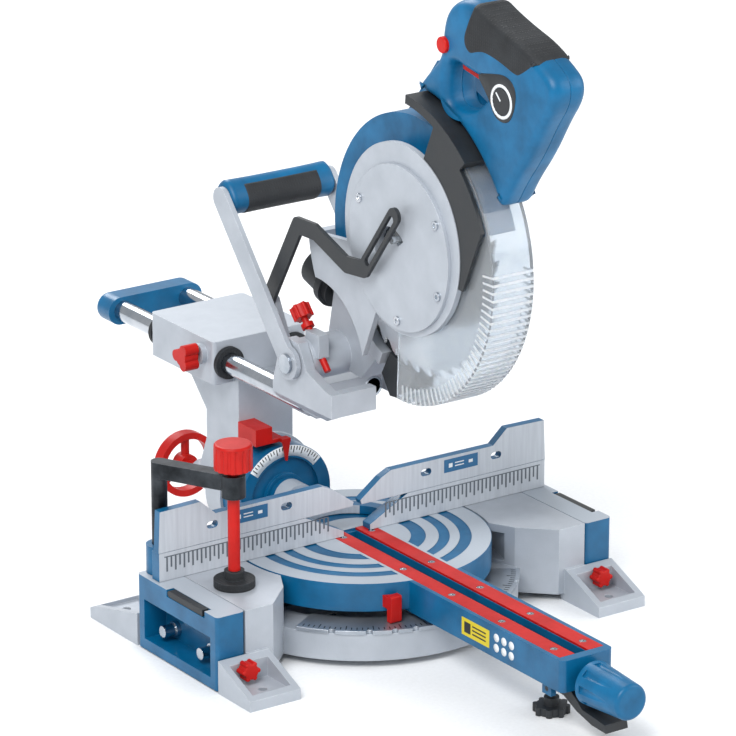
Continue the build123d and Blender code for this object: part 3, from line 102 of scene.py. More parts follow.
class Colours(bpy.types.PropertyGroup):
    """The finishes' colours."""
    blue: colour_property("Blue lacquer", "016391", "Lacquer on the cast table, arm and brackets")
    blue_shade: colour_property("Blue lacquer shade", "015179", "Slight unevenness of the lacquer")
    blue_shell: colour_property("Blue shell", "016898", "Moulded shells of the handle and motor")
    silver: colour_property("Silver coat", "B4BAC2", "Powder coat on the castings")
    silver_shade: colour_property("Silver coat shade", "ABB1B9", "Slight unevenness of the powder coat")
    machined: colour_property("Machined face", "A3ABB4", "Milled and turned aluminium faces")
    chrome: colour_property("Plated rail", "C9CCD1", "Hard chrome on the guide rails")
    dark: colour_property("Oiled steel", "4A4E53", "Blackened steel")
    blade: colour_property("Blade steel", "B9BDC2", "Ground blade body")
    black: colour_property("Black moulding", "1B1E21", "Glass-filled nylon parts")
    rubber: colour_property("Soft grip", "17191C", "Rubber over-moulding")
    red: colour_property("Red moulding", "C4170F", "Controls and inserts")
    clear: colour_property("Clear guard", "E4ECF4", "Polycarbonate guard")
    print_white: colour_property("White print", "E6EAEC", "Printed marks and rings")
    label_blue: colour_property("Blue label", "1F6390", "Printed label on the fence")
    label_yellow: colour_property("Yellow label", "D5C01E", "Printed label on the arm")


class Sizes(bpy.types.PropertyGroup):
    """Sizes of the fine detail."""
    edge_radius: length_property("Edge radius", 0.0009, "Rounding that the finishes show on sharp edges")
    tick_step: length_property("Ruler step", 0.005, "Spacing of the fence ruler's marks")
    print_height: length_property("Print height", 0.0002, "How proud printed marks stand")
    rib_depth: length_property("Guard rib depth", 0.0022, "Height of the ribs on the guard's rim")
    shell_radius: length_property("Shell edge radius", 0.009, "Rounding of the handle's moulded edges")
    grip_radius: length_property("Grip edge radius", 0.0075, "Rounding of the soft grips")


class StageSettings(bpy.types.PropertyGroup):
    """Floor, lights and camera."""
    azimuth: bpy.props.FloatProperty(
        name="Azimuth", description="Camera direction about the vertical", subtype="ANGLE", default=radians(-34.65))
    elevation: bpy.props.FloatProperty(
        name="Elevation", description="Camera height angle", subtype="ANGLE", default=radians(19.21))
    distance: length_property("Distance", 4.111, "From the camera to its target")
    lens: bpy.props.FloatProperty(name="Lens", description="Focal length in mm", default=226.6, min=10.0)
    floor_size: length_property("Floor size", 14.0, "Side of the floor")
    key_power: bpy.props.FloatProperty(name="Key power", description="Main light in watts", default=120.0)


def colours():
    return bpy.context.scene.saw_colours


def sizes():
    return bpy.context.scene.saw_sizes


# ---------------------------------------------------------------- finishes

def start_material(name):
    """A material with a Principled shader, its output and the object coordinates that the patterns read."""
    material = bpy.data.materials.new(name)
    material.use_nodes = True
    tree = material.node_tree
    tree.nodes.clear()
    shader = add(tree, "ShaderNodeBsdfPrincipled")
    add(tree, "ShaderNodeOutputMaterial", {"Surface": shader.outputs["BSDF"]})
    place = add(tree, "ShaderNodeTexCoord").outputs["Object"]
    return material, tree, shader, place


def set_shader(shader, **values):
    """Set plain numbers on the shader's own sockets."""
    for key, value in values.items():
        shader.inputs[key.replace("_", " ").title().replace("Ior", "IOR")].default_value = value


def noise(tree, place, size, detail=3.0, roughness=0.55, stretch=(1.0, 1.0, 1.0)):
    """Noise whose grains are about size metres across, divided by stretch along each axis."""
    mapping = add(tree, "ShaderNodeMapping", {"Vector": place, "Scale": stretch})
    return add(tree, "ShaderNodeTexNoise", {
        "Vector": mapping.outputs["Vector"], "Scale": 1.0 / size, "Detail": detail, "Roughness": roughness,
    }).outputs["Fac"]


def spread(tree, value, low, high, from_low=0.3, from_high=0.7):
    """Map a pattern's value from its usual span to low...high."""
    return add(tree, "ShaderNodeMapRange", {
        "Value": value, "From Min": from_low, "From Max": from_high, "To Min": low, "To Max": high,
    }).outputs["Result"]


def mix(tree, factor, first, second):
    """Blend two colours, each a value or a socket."""
    node = add(tree, "ShaderNodeMix", data_type="RGBA")
    for key, value in ((0, factor), (6, first), (7, second)):
        if isinstance(value, bpy.types.NodeSocket):
            tree.links.new(value, node.inputs[key])
        else:
            node.inputs[key].default_value = value
    return node.outputs[2]


def edges(tree, radius):
    """Rounded normals near sharp edges, and a mask that is 1 on those edges and 0 on the faces."""
    soft = add(tree, "ShaderNodeBevel", {"Radius": radius}, samples=4).outputs["Normal"]
    hard = add(tree, "ShaderNodeNewGeometry").outputs["Normal"]
    likeness = add(tree, "ShaderNodeVectorMath", {0: soft, 1: hard}, operation="DOT_PRODUCT").outputs["Value"]
    return soft, spread(tree, likeness, 1.0, 0.0, 0.86, 0.995)


def finish(name, colour, shade, roughness, grain, grain_height, edge_highlight_colour=None, edge_highlight_strength=0.5,
           patch=0.03, rough_span=0.06, stretch=(1.0, 1.0, 1.0), **shader_values):
    """A surface with uneven colour, grain in its bump, rounded edges that catch the light and are painted lighter in
    patches as a painted highlight, and roughness that drifts.
    """
    material, tree, shader, place = start_material(name)
    cloud = noise(tree, place, patch, 4.0)
    body = mix(tree, spread(tree, cloud, 0.0, 1.0), colour, shade)
    soft, edge = edges(tree, sizes().edge_radius)
    # Painted highlight: sharp edges take a lighter colour, broken into patches by noise.
    if edge_highlight_colour is not None:
        highlight_patches = spread(tree, noise(tree, place, 0.006, 5.0, 0.7), 0.0, edge_highlight_strength, 0.35, 0.6)
        patchy_highlight = add(tree, "ShaderNodeMath", {0: edge, 1: highlight_patches}, operation="MULTIPLY").outputs["Value"]
        body = mix(tree, patchy_highlight, body, edge_highlight_colour)
    grains = noise(tree, place, grain, 2.0, 0.5, stretch)
    bump = add(tree, "ShaderNodeBump", {
        "Strength": 1.0, "Distance": grain_height, "Height": grains, "Normal": soft}).outputs["Normal"]
    drift = spread(tree, cloud, roughness - rough_span, roughness + rough_span)
    tree.links.new(body, shader.inputs["Base Color"])
    tree.links.new(drift, shader.inputs["Roughness"])
    tree.links.new(bump, shader.inputs["Normal"])
    set_shader(shader, **shader_values)
    return material


def repaint_top(material, level, radius, colour, centre=(0.0, 0.0)):
    """Show a machined face where the surface lies above level and within radius of centre."""
    tree = material.node_tree
    shader = next(n for n in tree.nodes if n.type == "BSDF_PRINCIPLED")
    place = next(n for n in tree.nodes if n.type == "TEX_COORD").outputs["Object"]
    part = add(tree, "ShaderNodeSeparateXYZ", {"Vector": place}).outputs
    above = add(tree, "ShaderNodeMath", {0: part["Z"], 1: level}, operation="GREATER_THAN").outputs["Value"]
    flat = add(tree, "ShaderNodeCombineXYZ", {"X": part["X"], "Y": part["Y"]}).outputs["Vector"]
    reach = add(tree, "ShaderNodeVectorMath", {0: flat, 1: (*centre, 0.0)}, operation="DISTANCE").outputs["Value"]
    within = add(tree, "ShaderNodeMath", {0: reach, 1: radius}, operation="LESS_THAN").outputs["Value"]
    mask = add(tree, "ShaderNodeMath", {0: above, 1: within}, operation="MULTIPLY").outputs["Value"]
    rings = add(tree, "ShaderNodeTexWave", {
        "Vector": place, "Scale": 1.0 / (4 * MM), "Distortion": 0.4, "Detail": 2.0,
    }, wave_type="RINGS", rings_direction="Z").outputs["Fac"]
    bright = tuple(min(1.0, c * 1.18) for c in colour[:3]) + (1.0,)
    metal = mix(tree, rings, colour, bright)
    old = shader.inputs["Base Color"].links[0].from_socket
    tree.links.new(mix(tree, mask, old, metal), shader.inputs["Base Color"])
    return material


def repaint_front(material, colour, bright):
    """Show a milled face where the surface looks towards the operator, with the cutter's fine upright lines."""
    tree = material.node_tree
    shader = next(n for n in tree.nodes if n.type == "BSDF_PRINCIPLED")
    coordinates = next(n for n in tree.nodes if n.type == "TEX_COORD")
    facing = add(tree, "ShaderNodeSeparateXYZ", {"Vector": coordinates.outputs["Normal"]}).outputs["Y"]
    mask = add(tree, "ShaderNodeMath", {0: facing, 1: -0.7}, operation="LESS_THAN").outputs["Value"]
    lines = noise(tree, coordinates.outputs["Object"], 3.0 * MM, 3.0, 0.6, (1.0, 1.0, 0.05))
    metal = mix(tree, spread(tree, lines, 0.0, 0.6), colour, bright)
    old = shader.inputs["Base Color"].links[0].from_socket
    tree.links.new(mix(tree, mask, old, metal), shader.inputs["Base Color"])
    return material


# Each finish below passes a lighter edge colour after its shade: finish() paints it on sharp edges as a painted
# highlight.
def blue_lacquer(name="blue lacquered aluminium"):
    """Satin enamel on a die casting: even, deep, faint orange peel, with a clear top layer."""
    c = colours()
    return finish(name, c.blue, c.blue_shade, 0.34, 2.5 * MM, 0.05 * MM, linear("2F7FB2"), 0.55,
                  coat_weight=0.12, coat_roughness=0.15, specular_ior_level=0.4)


def blue_moulding():
    """Moulded ABS with a fine spark-eroded grain, less glossy than the lacquer."""
    c = colours()
    return finish("blue moulded ABS", c.blue_shell, c.blue_shade, 0.40, 1.6 * MM, 0.05 * MM,
                  linear("2A78AC"), 0.4, specular_ior_level=0.35)


def silver_powder_coat():
    """Textured powder coat on cast aluminium: matt silver with a pebbled skin, a little metallic flake."""
    c = colours()
    return finish("silver powder coated aluminium", c.silver, c.silver_shade, 0.44, 1.9 * MM, 0.09 * MM,
                  linear("E2E7EC"), 0.8, metallic=0.25)


def machined_aluminium():
    """Milled aluminium: bright, with fine tool lines across the face."""
    c = colours()
    return finish("machined aluminium", c.machined, c.silver, 0.34, 1.2 * MM, 0.04 * MM,
                  linear("F0F3F6"), 0.8, stretch=(1.0, 0.08, 1.0), metallic=0.8)


def hard_chrome():
    """Ground and plated steel: a mirror drawn out along the rail by the grinding."""
    c = colours()
    return finish("hard chromed steel", c.chrome, c.machined, 0.14, 1.5 * MM, 0.01 * MM,
                  None, stretch=(1.0, 0.03, 1.0), rough_span=0.04, metallic=1.0)


def oiled_steel():
    """Blackened, oiled steel: dark, half glossy, lighter at its corners, partly from wear and partly as a painted
    highlight.
    """
    c = colours()
    return finish("oiled black steel", c.dark, c.black, 0.38, 1.5 * MM, 0.05 * MM,
                  linear("8A9097"), 0.7, metallic=0.85)


def black_nylon():
    """Glass-filled nylon: near black, matt, with a coarse moulded grain."""
    c = colours()
    return finish("black moulded nylon", c.black, linear("23272B"), 0.50, 1.8 * MM, 0.08 * MM,
                  linear("4A5057"), 0.5, ior=1.53)


def red_moulding():
    """Glossy moulded acetal in signal red, with a soft shine."""
    c = colours()
    return finish("red moulded acetal", c.red, linear("AD120C"), 0.40, 2.2 * MM, 0.04 * MM,
                  linear("D8473C"), 0.45, specular_ior_level=0.25)


def soft_grip():
    """Over-moulded rubber: matt black with small raised dots a few millimetres apart."""
    c = colours()
    material, tree, shader, place = start_material("black soft grip rubber")
    cells = add(tree, "ShaderNodeTexVoronoi", {"Vector": place, "Scale": 1.0 / (3.2 * MM), "Randomness": 0.15},
                feature="F1").outputs["Distance"]
    dots = spread(tree, cells, 1.0, 0.0, 0.25, 0.45)
    soft, edge = edges(tree, sizes().edge_radius)
    bump = add(tree, "ShaderNodeBump", {
        "Strength": 0.8, "Distance": 0.25 * MM, "Height": dots, "Normal": soft}).outputs["Normal"]
    dusty = mix(tree, spread(tree, noise(tree, place, 0.02, 4.0), 0.0, 0.6), c.rubber, linear("2A2E32"))
    # Dust-like patches of lighter grey, and the sharp edges painted lighter as a painted highlight.
    tree.links.new(mix(tree, edge, dusty, linear("3A3F45")), shader.inputs["Base Color"])
    tree.links.new(bump, shader.inputs["Normal"])
    set_shader(shader, roughness=0.68, ior=1.5)
    return material


def ground_blade():
    """Saw plate ground in a spiral: fine rings about the arbor, so highlights run round it."""
    c = colours()
    low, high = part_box("blade")
    centre = (low + high) / 2
    material, tree, shader, place = start_material("ground blade steel")
    about = add(tree, "ShaderNodeMapping", {"Vector": place, "Location": tuple(-v for v in centre)}).outputs["Vector"]
    rings = add(tree, "ShaderNodeTexWave", {
        "Vector": about, "Scale": 1.0 / (5 * MM), "Distortion": 1.5, "Detail": 3.0, "Detail Scale": 2.0,
    }, wave_type="RINGS", rings_direction="X").outputs["Fac"]
    tree.links.new(mix(tree, rings, c.blade, linear("D8DCE0")), shader.inputs["Base Color"])
    tree.links.new(spread(tree, rings, 0.22, 0.34, 0.0, 1.0), shader.inputs["Roughness"])
    bump = add(tree, "ShaderNodeBump", {"Strength": 0.5, "Distance": 0.02 * MM, "Height": rings})
    tree.links.new(bump.outputs["Normal"], shader.inputs["Normal"])
    set_shader(shader, metallic=1.0)
    return material


def clear_polycarbonate():
    """Injection-moulded polycarbonate: clear, faintly blue, with a light haze of dust scratches."""
    c = colours()
    material, tree, shader, place = start_material("clear polycarbonate")
    haze = noise(tree, place, 0.012, 5.0, 0.7)
    tree.links.new(spread(tree, haze, 0.05, 0.20), shader.inputs["Roughness"])
    tree.links.new(mix(tree, spread(tree, haze, 0.0, 1.0), c.clear, linear("F6FAFD")), shader.inputs["Base Color"])
    set_shader(shader, ior=1.40, transmission_weight=0.86)
    return material


def whitened_rib_polycarbonate():
    """The guard's moulded ribs: the same polycarbonate with a rougher face, so it scatters, and whitened as a painted
    highlight for the light the thin ribs refract.
    """
    c = colours()
    material, tree, shader, place = start_material("polycarbonate ribs whitened as painted glints")
    haze = noise(tree, place, 0.005, 4.0, 0.6)
    tree.links.new(spread(tree, haze, 0.30, 0.5), shader.inputs["Roughness"])
    # Painted highlight: the ribs' colour runs towards white so they show as refracted glints do.
    tree.links.new(mix(tree, spread(tree, haze, 0.0, 1.0), c.clear, linear("FFFFFF")), shader.inputs["Base Color"])
    set_shader(shader, ior=1.45, transmission_weight=0.45)
    return material


def printed(name, colour, roughness=0.45):
    """Screen-printed ink: flat colour with the slight mottle of the sheet under it."""
    material, tree, shader, place = start_material(name)
    mottle = spread(tree, noise(tree, place, 0.004, 3.0), 0.0, 0.35)
    darker = tuple(c * 0.85 for c in colour[:3]) + (1.0,)
    tree.links.new(mix(tree, mottle, colour, darker), shader.inputs["Base Color"])
    set_shader(shader, roughness=roughness)
    return material


FINISHES = {
    "blue_paint": blue_lacquer,
    "blue_plastic": blue_moulding,
    "grey_casting": silver_powder_coat,
    "machined_grey": machined_aluminium,
    "steel": hard_chrome,
    "dark_steel": oiled_steel,
    "blade_steel": ground_blade,
    "black_plastic": black_nylon,
    "black_rubber": soft_grip,
    "red_plastic": red_moulding,
    "clear_guard": clear_polycarbonate,
}
made = {}


def slot_finish(slot):
    """The finish of one of the record's slots, made once."""
    if slot not in made:
        made[slot] = FINISHES[slot]()
    return made[slot]


# ---------------------------------------------------------------- mesh helpers

def piece(name, vertices, faces, material, body, slot, smooth=True):
    """A new piece from vertices and faces, with its finish, riding on a body of the frame."""
    mesh = bpy.data.meshes.new(name)
    mesh.from_pydata([tuple(v) for v in np.asarray(vertices, float)], [], [tuple(int(i) for i in f) for f in faces])
    mesh.polygons.foreach_set("use_smooth", [smooth] * len(mesh.polygons))
    mesh.validate()
    made_object = bpy.data.objects.new(name, mesh)
    bpy.context.scene.collection.objects.link(made_object)
    mesh.materials.append(material)
    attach(made_object, body)
    return made_object


def grid_faces(rows, columns, wrap_rows=False, wrap_columns=False, first=0):
    """Quads between neighbouring points of a rows by columns grid, as whole arrays."""
    r = np.arange(rows if wrap_rows else rows - 1)
    c = np.arange(columns if wrap_columns else columns - 1)
    r, c = np.meshgrid(r, c, indexing="ij")
    r1, c1 = (r + 1) % rows, (c + 1) % columns
    quads = np.stack([r * columns + c, r1 * columns + c, r1 * columns + c1, r * columns + c1], -1)
    return quads.reshape(-1, 4) + first


def join(parts):
    """Several (vertices, faces) as one, with the faces renumbered."""
    vertices, faces, count = [], [], 0
    for points, quads in parts:
        vertices.append(np.asarray(points, float).reshape(-1, 3))
        faces += [[int(i) + count for i in f] for f in quads]
        count += len(vertices[-1])
    return np.concatenate(vertices), faces


def rounded_loop(points, rounds=3, count=180):
    """A closed outline in (y, z) with each corner cut back by a quarter of its sides, several times over.

    Its points are then spaced evenly along its length.
    """
    loop = np.array(points, float)
    for _ in range(rounds):
        following = np.roll(loop, -1, axis=0)
        loop = np.stack([0.75 * loop + 0.25 * following, 0.25 * loop + 0.75 * following], 1).reshape(-1, 2)
    closed = np.vstack([loop, loop[:1]])
    run = np.concatenate([[0.0], np.cumsum(np.linalg.norm(np.diff(closed, axis=0), axis=1))])
    at = np.linspace(0.0, run[-1], count, endpoint=False)
    return np.stack([np.interp(at, run, closed[:, k]) for k in (0, 1)], 1)


def area(loop):
    """Signed area of a closed outline, positive where it runs anticlockwise."""
    following = np.roll(loop, -1, axis=0)
    return 0.5 * float(np.sum(loop[:, 0] * following[:, 1] - following[:, 0] * loop[:, 1]))


def inset(loop, distance):
    """Each point moved along its normal, (tz, -ty) for the tangent (ty, tz), into the material on its left."""
    tangent = np.roll(loop, -1, axis=0) - np.roll(loop, 1, axis=0)
    tangent /= np.linalg.norm(tangent, axis=1)[:, None]
    return loop - distance * np.stack([tangent[:, 1], -tangent[:, 0]], 1)


def inside(loop, points):
    """Whether each point lies in the closed outline: a line from it in +y crosses the sides an odd number of times."""
    start, end = loop, np.roll(loop, -1, axis=0)
    y, z = points[:, 0, None], points[:, 1, None]
    spans = (start[:, 1] > z) != (end[:, 1] > z)
    height = np.where(end[:, 1] == start[:, 1], 1.0, end[:, 1] - start[:, 1])
    crossing = start[:, 0] + (z - start[:, 1]) * (end[:, 0] - start[:, 0]) / height
    return (np.sum(spans & (y < crossing), axis=1) % 2).astype(bool)


def moulded(outer, holes, x_low, x_high, low_edge, high_edge, steps=6):
    """A slab between two x values with its side view given by closed outlines and its edges rounded.

    Each edge is a quarter ellipse: the outline is inset by e (1 - sin t) where x has run d (1 - cos t),
    for t from 0 to a quarter turn; an edge is the pair (e, d). The flat sides are triangulated.
    """
    turn = np.linspace(0.0, pi / 2, steps)
    low = [(x_low + low_edge[1] * (1 - cos(t)), low_edge[0] * (1 - sin(t))) for t in turn]
    high = [(x_high - high_edge[1] * (1 - cos(t)), high_edge[0] * (1 - sin(t))) for t in turn[::-1]]
    rows = low + high
    loops = [outer if area(outer) > 0 else outer[::-1]] + [h[::-1] if area(h) > 0 else h for h in holes]
    parts = []
    for loop in loops:
        points = np.stack([np.column_stack([np.full(len(loop), x), inset(loop, d)]) for x, d in rows])
        quads = grid_faces(len(rows), len(loop), wrap_columns=True)[:, ::-1]
        parts.append((points, quads))
    for x, distance, way in ((*rows[0], -1), (*rows[-1], 1)):
        flat = [inset(loop, distance) for loop in loops]
        starts = np.cumsum([0] + [len(f) for f in flat])
        rim = [(a + k, a + (k + 1) % len(f)) for a, f in zip(starts, flat) for k in range(len(f))]
        places = [Vector(v) for f in flat for v in f]
        corners, _, triangles, *_ = delaunay_2d_cdt(places, rim, [], 1, 1e-7)
        cap = np.array([(x, v.x, v.y) for v in corners])
        middles = cap[np.array(triangles)].mean(axis=1)[:, 1:]
        open_ones = [inside(f, middles) for f in flat[1:]]
        solid = inside(flat[0], middles) & ~np.any(open_ones or [np.zeros(len(middles), bool)], axis=0)
        triangles = [t for t, kept in zip(triangles, solid) if kept]
        parts.append((cap, [t if way > 0 else t[::-1] for t in triangles]))
    return join(parts)


def merged(shown, distance=1e-6):
    """Join a piece's doubled points and turn its faces outwards."""
    work = bmesh.new()
    work.from_mesh(shown.data)
    bmesh.ops.remove_doubles(work, verts=work.verts, dist=distance)
    bmesh.ops.recalc_face_normals(work, faces=work.faces)
    work.to_mesh(shown.data)
    work.free()
    return shown


def turned(profile, origin, axis, count=72, flutes=0, depth=0.0):
    """A solid of revolution: each profile pair (along, radius) is a ring about the axis.

    A fluted one has its radius lessened by depth (1 + cos(flutes angle)) / 2.
    """
    axis = Vector(axis).normalized()
    across = axis.orthogonal().normalized()
    third = axis.cross(across)
    angle = np.linspace(0.0, tau, count, endpoint=False)
    along, radius = np.array(profile, float).T
    cut = depth * (1 + np.cos(flutes * angle)) / 2 if flutes else np.zeros(count)
    reach = np.maximum(radius[:, None] - cut[None, :] * (radius[:, None] > depth), 1e-6)
    points = (np.array(origin, float) + along[:, None, None] * np.array(axis)
              + reach[..., None] * (np.cos(angle)[:, None] * np.array(across) + np.sin(angle)[:, None] * np.array(third)))
    return points.reshape(-1, 3), grid_faces(len(profile), count, wrap_columns=True)


def polar(centre, radius, degrees):
    """A point in (y, z) at this angle, counted up from the operator's side."""
    return centre[0] - radius * cos(radians(degrees)), centre[1] + radius * sin(radians(degrees))


# The eight corners of a bar: p = centre + (±u, ±v, ±w), and its six faces, outward.
CORNERS = np.array([(x, y, z) for x in (-1, 1) for y in (-1, 1) for z in (-1, 1)], float)
BAR_FACES = [(0, 1, 3, 2), (4, 6, 7, 5), (0, 4, 5, 1), (2, 3, 7, 6), (0, 2, 6, 4), (1, 5, 7, 3)]


def bar(centre, u, v, w):
    """A straight bar: centre plus every sum of plus or minus the three half edges."""
    return CORNERS @ np.array([u, v, w], float) + np.array(centre, float), BAR_FACES


# ---------------------------------------------------------------- operators

class MITRE_OT_frame_finishes(bpy.types.Operator):
    """Give every piece of the frame the finish of its slot"""
    bl_idname = "mitre.frame_finishes"
    bl_label = "Frame finishes"

    def execute(self, context):
        for part in frame["record"]["subparts"]:
            node = frame["nodes"][part["node"]]
            node.data.materials.clear()
            node.data.materials.append(slot_finish(part["material_slot"]))
        c = colours()
        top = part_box("kerf_plates")[1].z - 0.4 * MM
        table = repaint_top(blue_lacquer("blue lacquer with turned table top"), top, 0.1305, c.machined)
        frame["nodes"]["turntable"].data.materials[0] = table
        wide = 1.0
        extension = repaint_top(blue_lacquer("blue lacquer with milled top"), top, wide, c.machined)
        for side in ("left", "right"):
            frame["nodes"][side + "_extension_frame"].data.materials[0] = extension
        fence = repaint_front(blue_lacquer("blue lacquer with milled face"), c.silver, linear("C9CFD6"))
        for name in ("fixed_fence", "left_sliding_fence", "right_sliding_fence"):
            frame["nodes"][name].data.materials[0] = fence
        return {"FINISHED"}


def blade_centre():
    """Centre of the blade in (y, z)."""
    low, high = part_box("blade")
    return (low.y + high.y) / 2, (low.z + high.z) / 2


class MITRE_OT_handle(bpy.types.Operator):
    """Make the two rounded handle shells and the soft grip"""
    bl_idname = "mitre.handle"
    bl_label = "Handle"

    def execute(self, context):
        s = sizes()
        low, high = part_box("handle_left")
        middle, far = high.x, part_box("handle_right")[1].x
        # side view from the grip's rear end, over the top to the front, and back along the blade guard
        back = [(-0.125, 0.588), (-0.150, 0.611), (-0.1515, 0.640), (-0.160, 0.660), (-0.178, 0.6715), (-0.200, 0.675)]
        top = [(-0.222, 0.666), (-0.250, 0.657), (-0.280, 0.649), (-0.308, 0.637), (-0.3285, 0.624), (-0.3285, 0.603)]
        nose = [(-0.310, 0.578), (-0.289, 0.543), (-0.264, 0.512)]
        arc = [polar(blade_centre(), 0.1638, degrees) for degrees in np.linspace(27.5, 87.0, 14)]
        outer = rounded_loop(back + top + nose + arc, 3, 260)
        opening = rounded_loop([
            (-0.166, 0.611), (-0.196, 0.605), (-0.223, 0.602), (-0.229, 0.592), (-0.213, 0.577),
            (-0.202, 0.569), (-0.178, 0.563), (-0.161, 0.567), (-0.159, 0.592)], 2, 120)
        soft, seam = (s.shell_radius, s.shell_radius * 1.2), (0.0007, 0.0007)
        finish_blue = slot_finish("blue_plastic")
        for name, start, end, first, second in (
                ("handle_shell_left", low.x, middle - 0.1 * MM, soft, seam),
                ("handle_shell_right", middle + 0.1 * MM, far, seam, soft)):
            shell = piece(name, *moulded(outer, [opening], start, end, first, second), finish_blue, "head", "blue_plastic")
            merged(shell)
            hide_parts(name.replace("shell_", ""))
        grip_line = rounded_loop([
            (-0.2045, 0.6752), (-0.196, 0.664), (-0.189, 0.650), (-0.184, 0.638), (-0.187, 0.626), (-0.198, 0.619),
            (-0.212, 0.624), (-0.222, 0.626), (-0.246, 0.622), (-0.272, 0.614), (-0.282, 0.619), (-0.300, 0.631),
            (-0.3065, 0.6385), (-0.281, 0.6505), (-0.250, 0.6585), (-0.222, 0.6675)], 3, 200)
        proud = 0.7 * MM
        grip_edge = (s.grip_radius, s.grip_radius * 1.35)
        grip = piece("handle_soft_grip", *moulded(grip_line, [], low.x - proud, far + proud, grip_edge, grip_edge, 8),
                     slot_finish("black_rubber"), "head", "black_rubber")
        merged(grip)
        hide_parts("handle_grip")
        return {"FINISHED"}


class MITRE_OT_controls(bpy.types.Operator):
    """Make the dial's ring and panel, the rockers' surround and their printed marks"""
    bl_idname = "mitre.controls"
    bl_label = "Controls"

    def execute(self, context):
        c = colours()
        low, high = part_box("speed_dial")
        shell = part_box("handle_left")[0].x
        y, z = (low.y + high.y) / 2, (low.z + high.z) / 2
        outer, inner, rise = 0.0165, 0.0135, 1.2 * MM
        ring = [(0.4 * MM, inner), (-rise, inner), (-rise - 0.3 * MM, (inner + outer) / 2), (-rise, outer), (0.4 * MM, outer)]
        merged(piece("dial_ring", *turned(ring + ring[:1], (shell, y, z), (1, 0, 0)),
                     printed("pale printed ring", c.print_white), "head", "machined_grey"))
        panel = rounded_loop([
            (y + 0.040, z + 0.018), (y + 0.022, z + 0.022), (y - 0.006, z + 0.027), (y - 0.022, z + 0.017),
            (y - 0.020, z - 0.004), (y - 0.010, z - 0.020), (y + 0.010, z - 0.019), (y + 0.019, z - 0.004),
            (y + 0.030, z + 0.008)], 2, 90)
        hole = rounded_loop([(y + 0.0138 * cos(a), z + 0.0138 * sin(a)) for a in np.linspace(0, tau, 32)[:-1]], 1, 72)
        merged(piece("dial_panel", *moulded(panel, [hole], shell - 0.7 * MM, shell + 1.0 * MM, (0.0006, 0.0006), (0.0, 0.0), 3),
                     slot_finish("black_plastic"), "head", "black_plastic"))
        mark, thin = 1.1 * MM, 0.15 * MM
        pointer = bar((low.x - thin, y + 0.004, z + 0.004), (thin, 0, 0), (0, 0.0035, 0.0035), (0, mark / 2, -mark / 2))
        piece("dial_mark", *pointer, printed("white dial mark", c.print_white), "speed_dial", "machined_grey", smooth=False)
        for name in ("laser_switch", "lamp_switch"):
            low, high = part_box(name)
            y, z = (low.y + high.y) / 2, (low.z + high.z) / 2
            slope = Vector((0, 33, -42)).normalized()
            up = Vector((0, 42, 33)).normalized()
            middle = Vector(((low.x + high.x) / 2, y, z)) + up * (0.3 * MM)
            frame_bars = []
            for way in (-1, 1):
                frame_bars.append(bar(middle + slope * way * 0.0098, (0.0092, 0, 0), slope * 0.0014, up * 0.0016))
                frame_bars.append(bar(middle + Vector((way * 0.0092, 0, 0)), (0.0012, 0, 0), slope * 0.0112, up * 0.0016))
            piece(name + "_surround", *join(frame_bars), slot_finish("black_plastic"), "head", "black_plastic", smooth=False)
            face = middle + up * 3.4 * MM
            dash = bar(face, (0.0035, 0, 0), slope * 0.0008, up * 0.00015)
            piece(name + "_mark", *dash, printed("white rocker mark", c.print_white), name, "machined_grey", smooth=False)
        return {"FINISHED"}


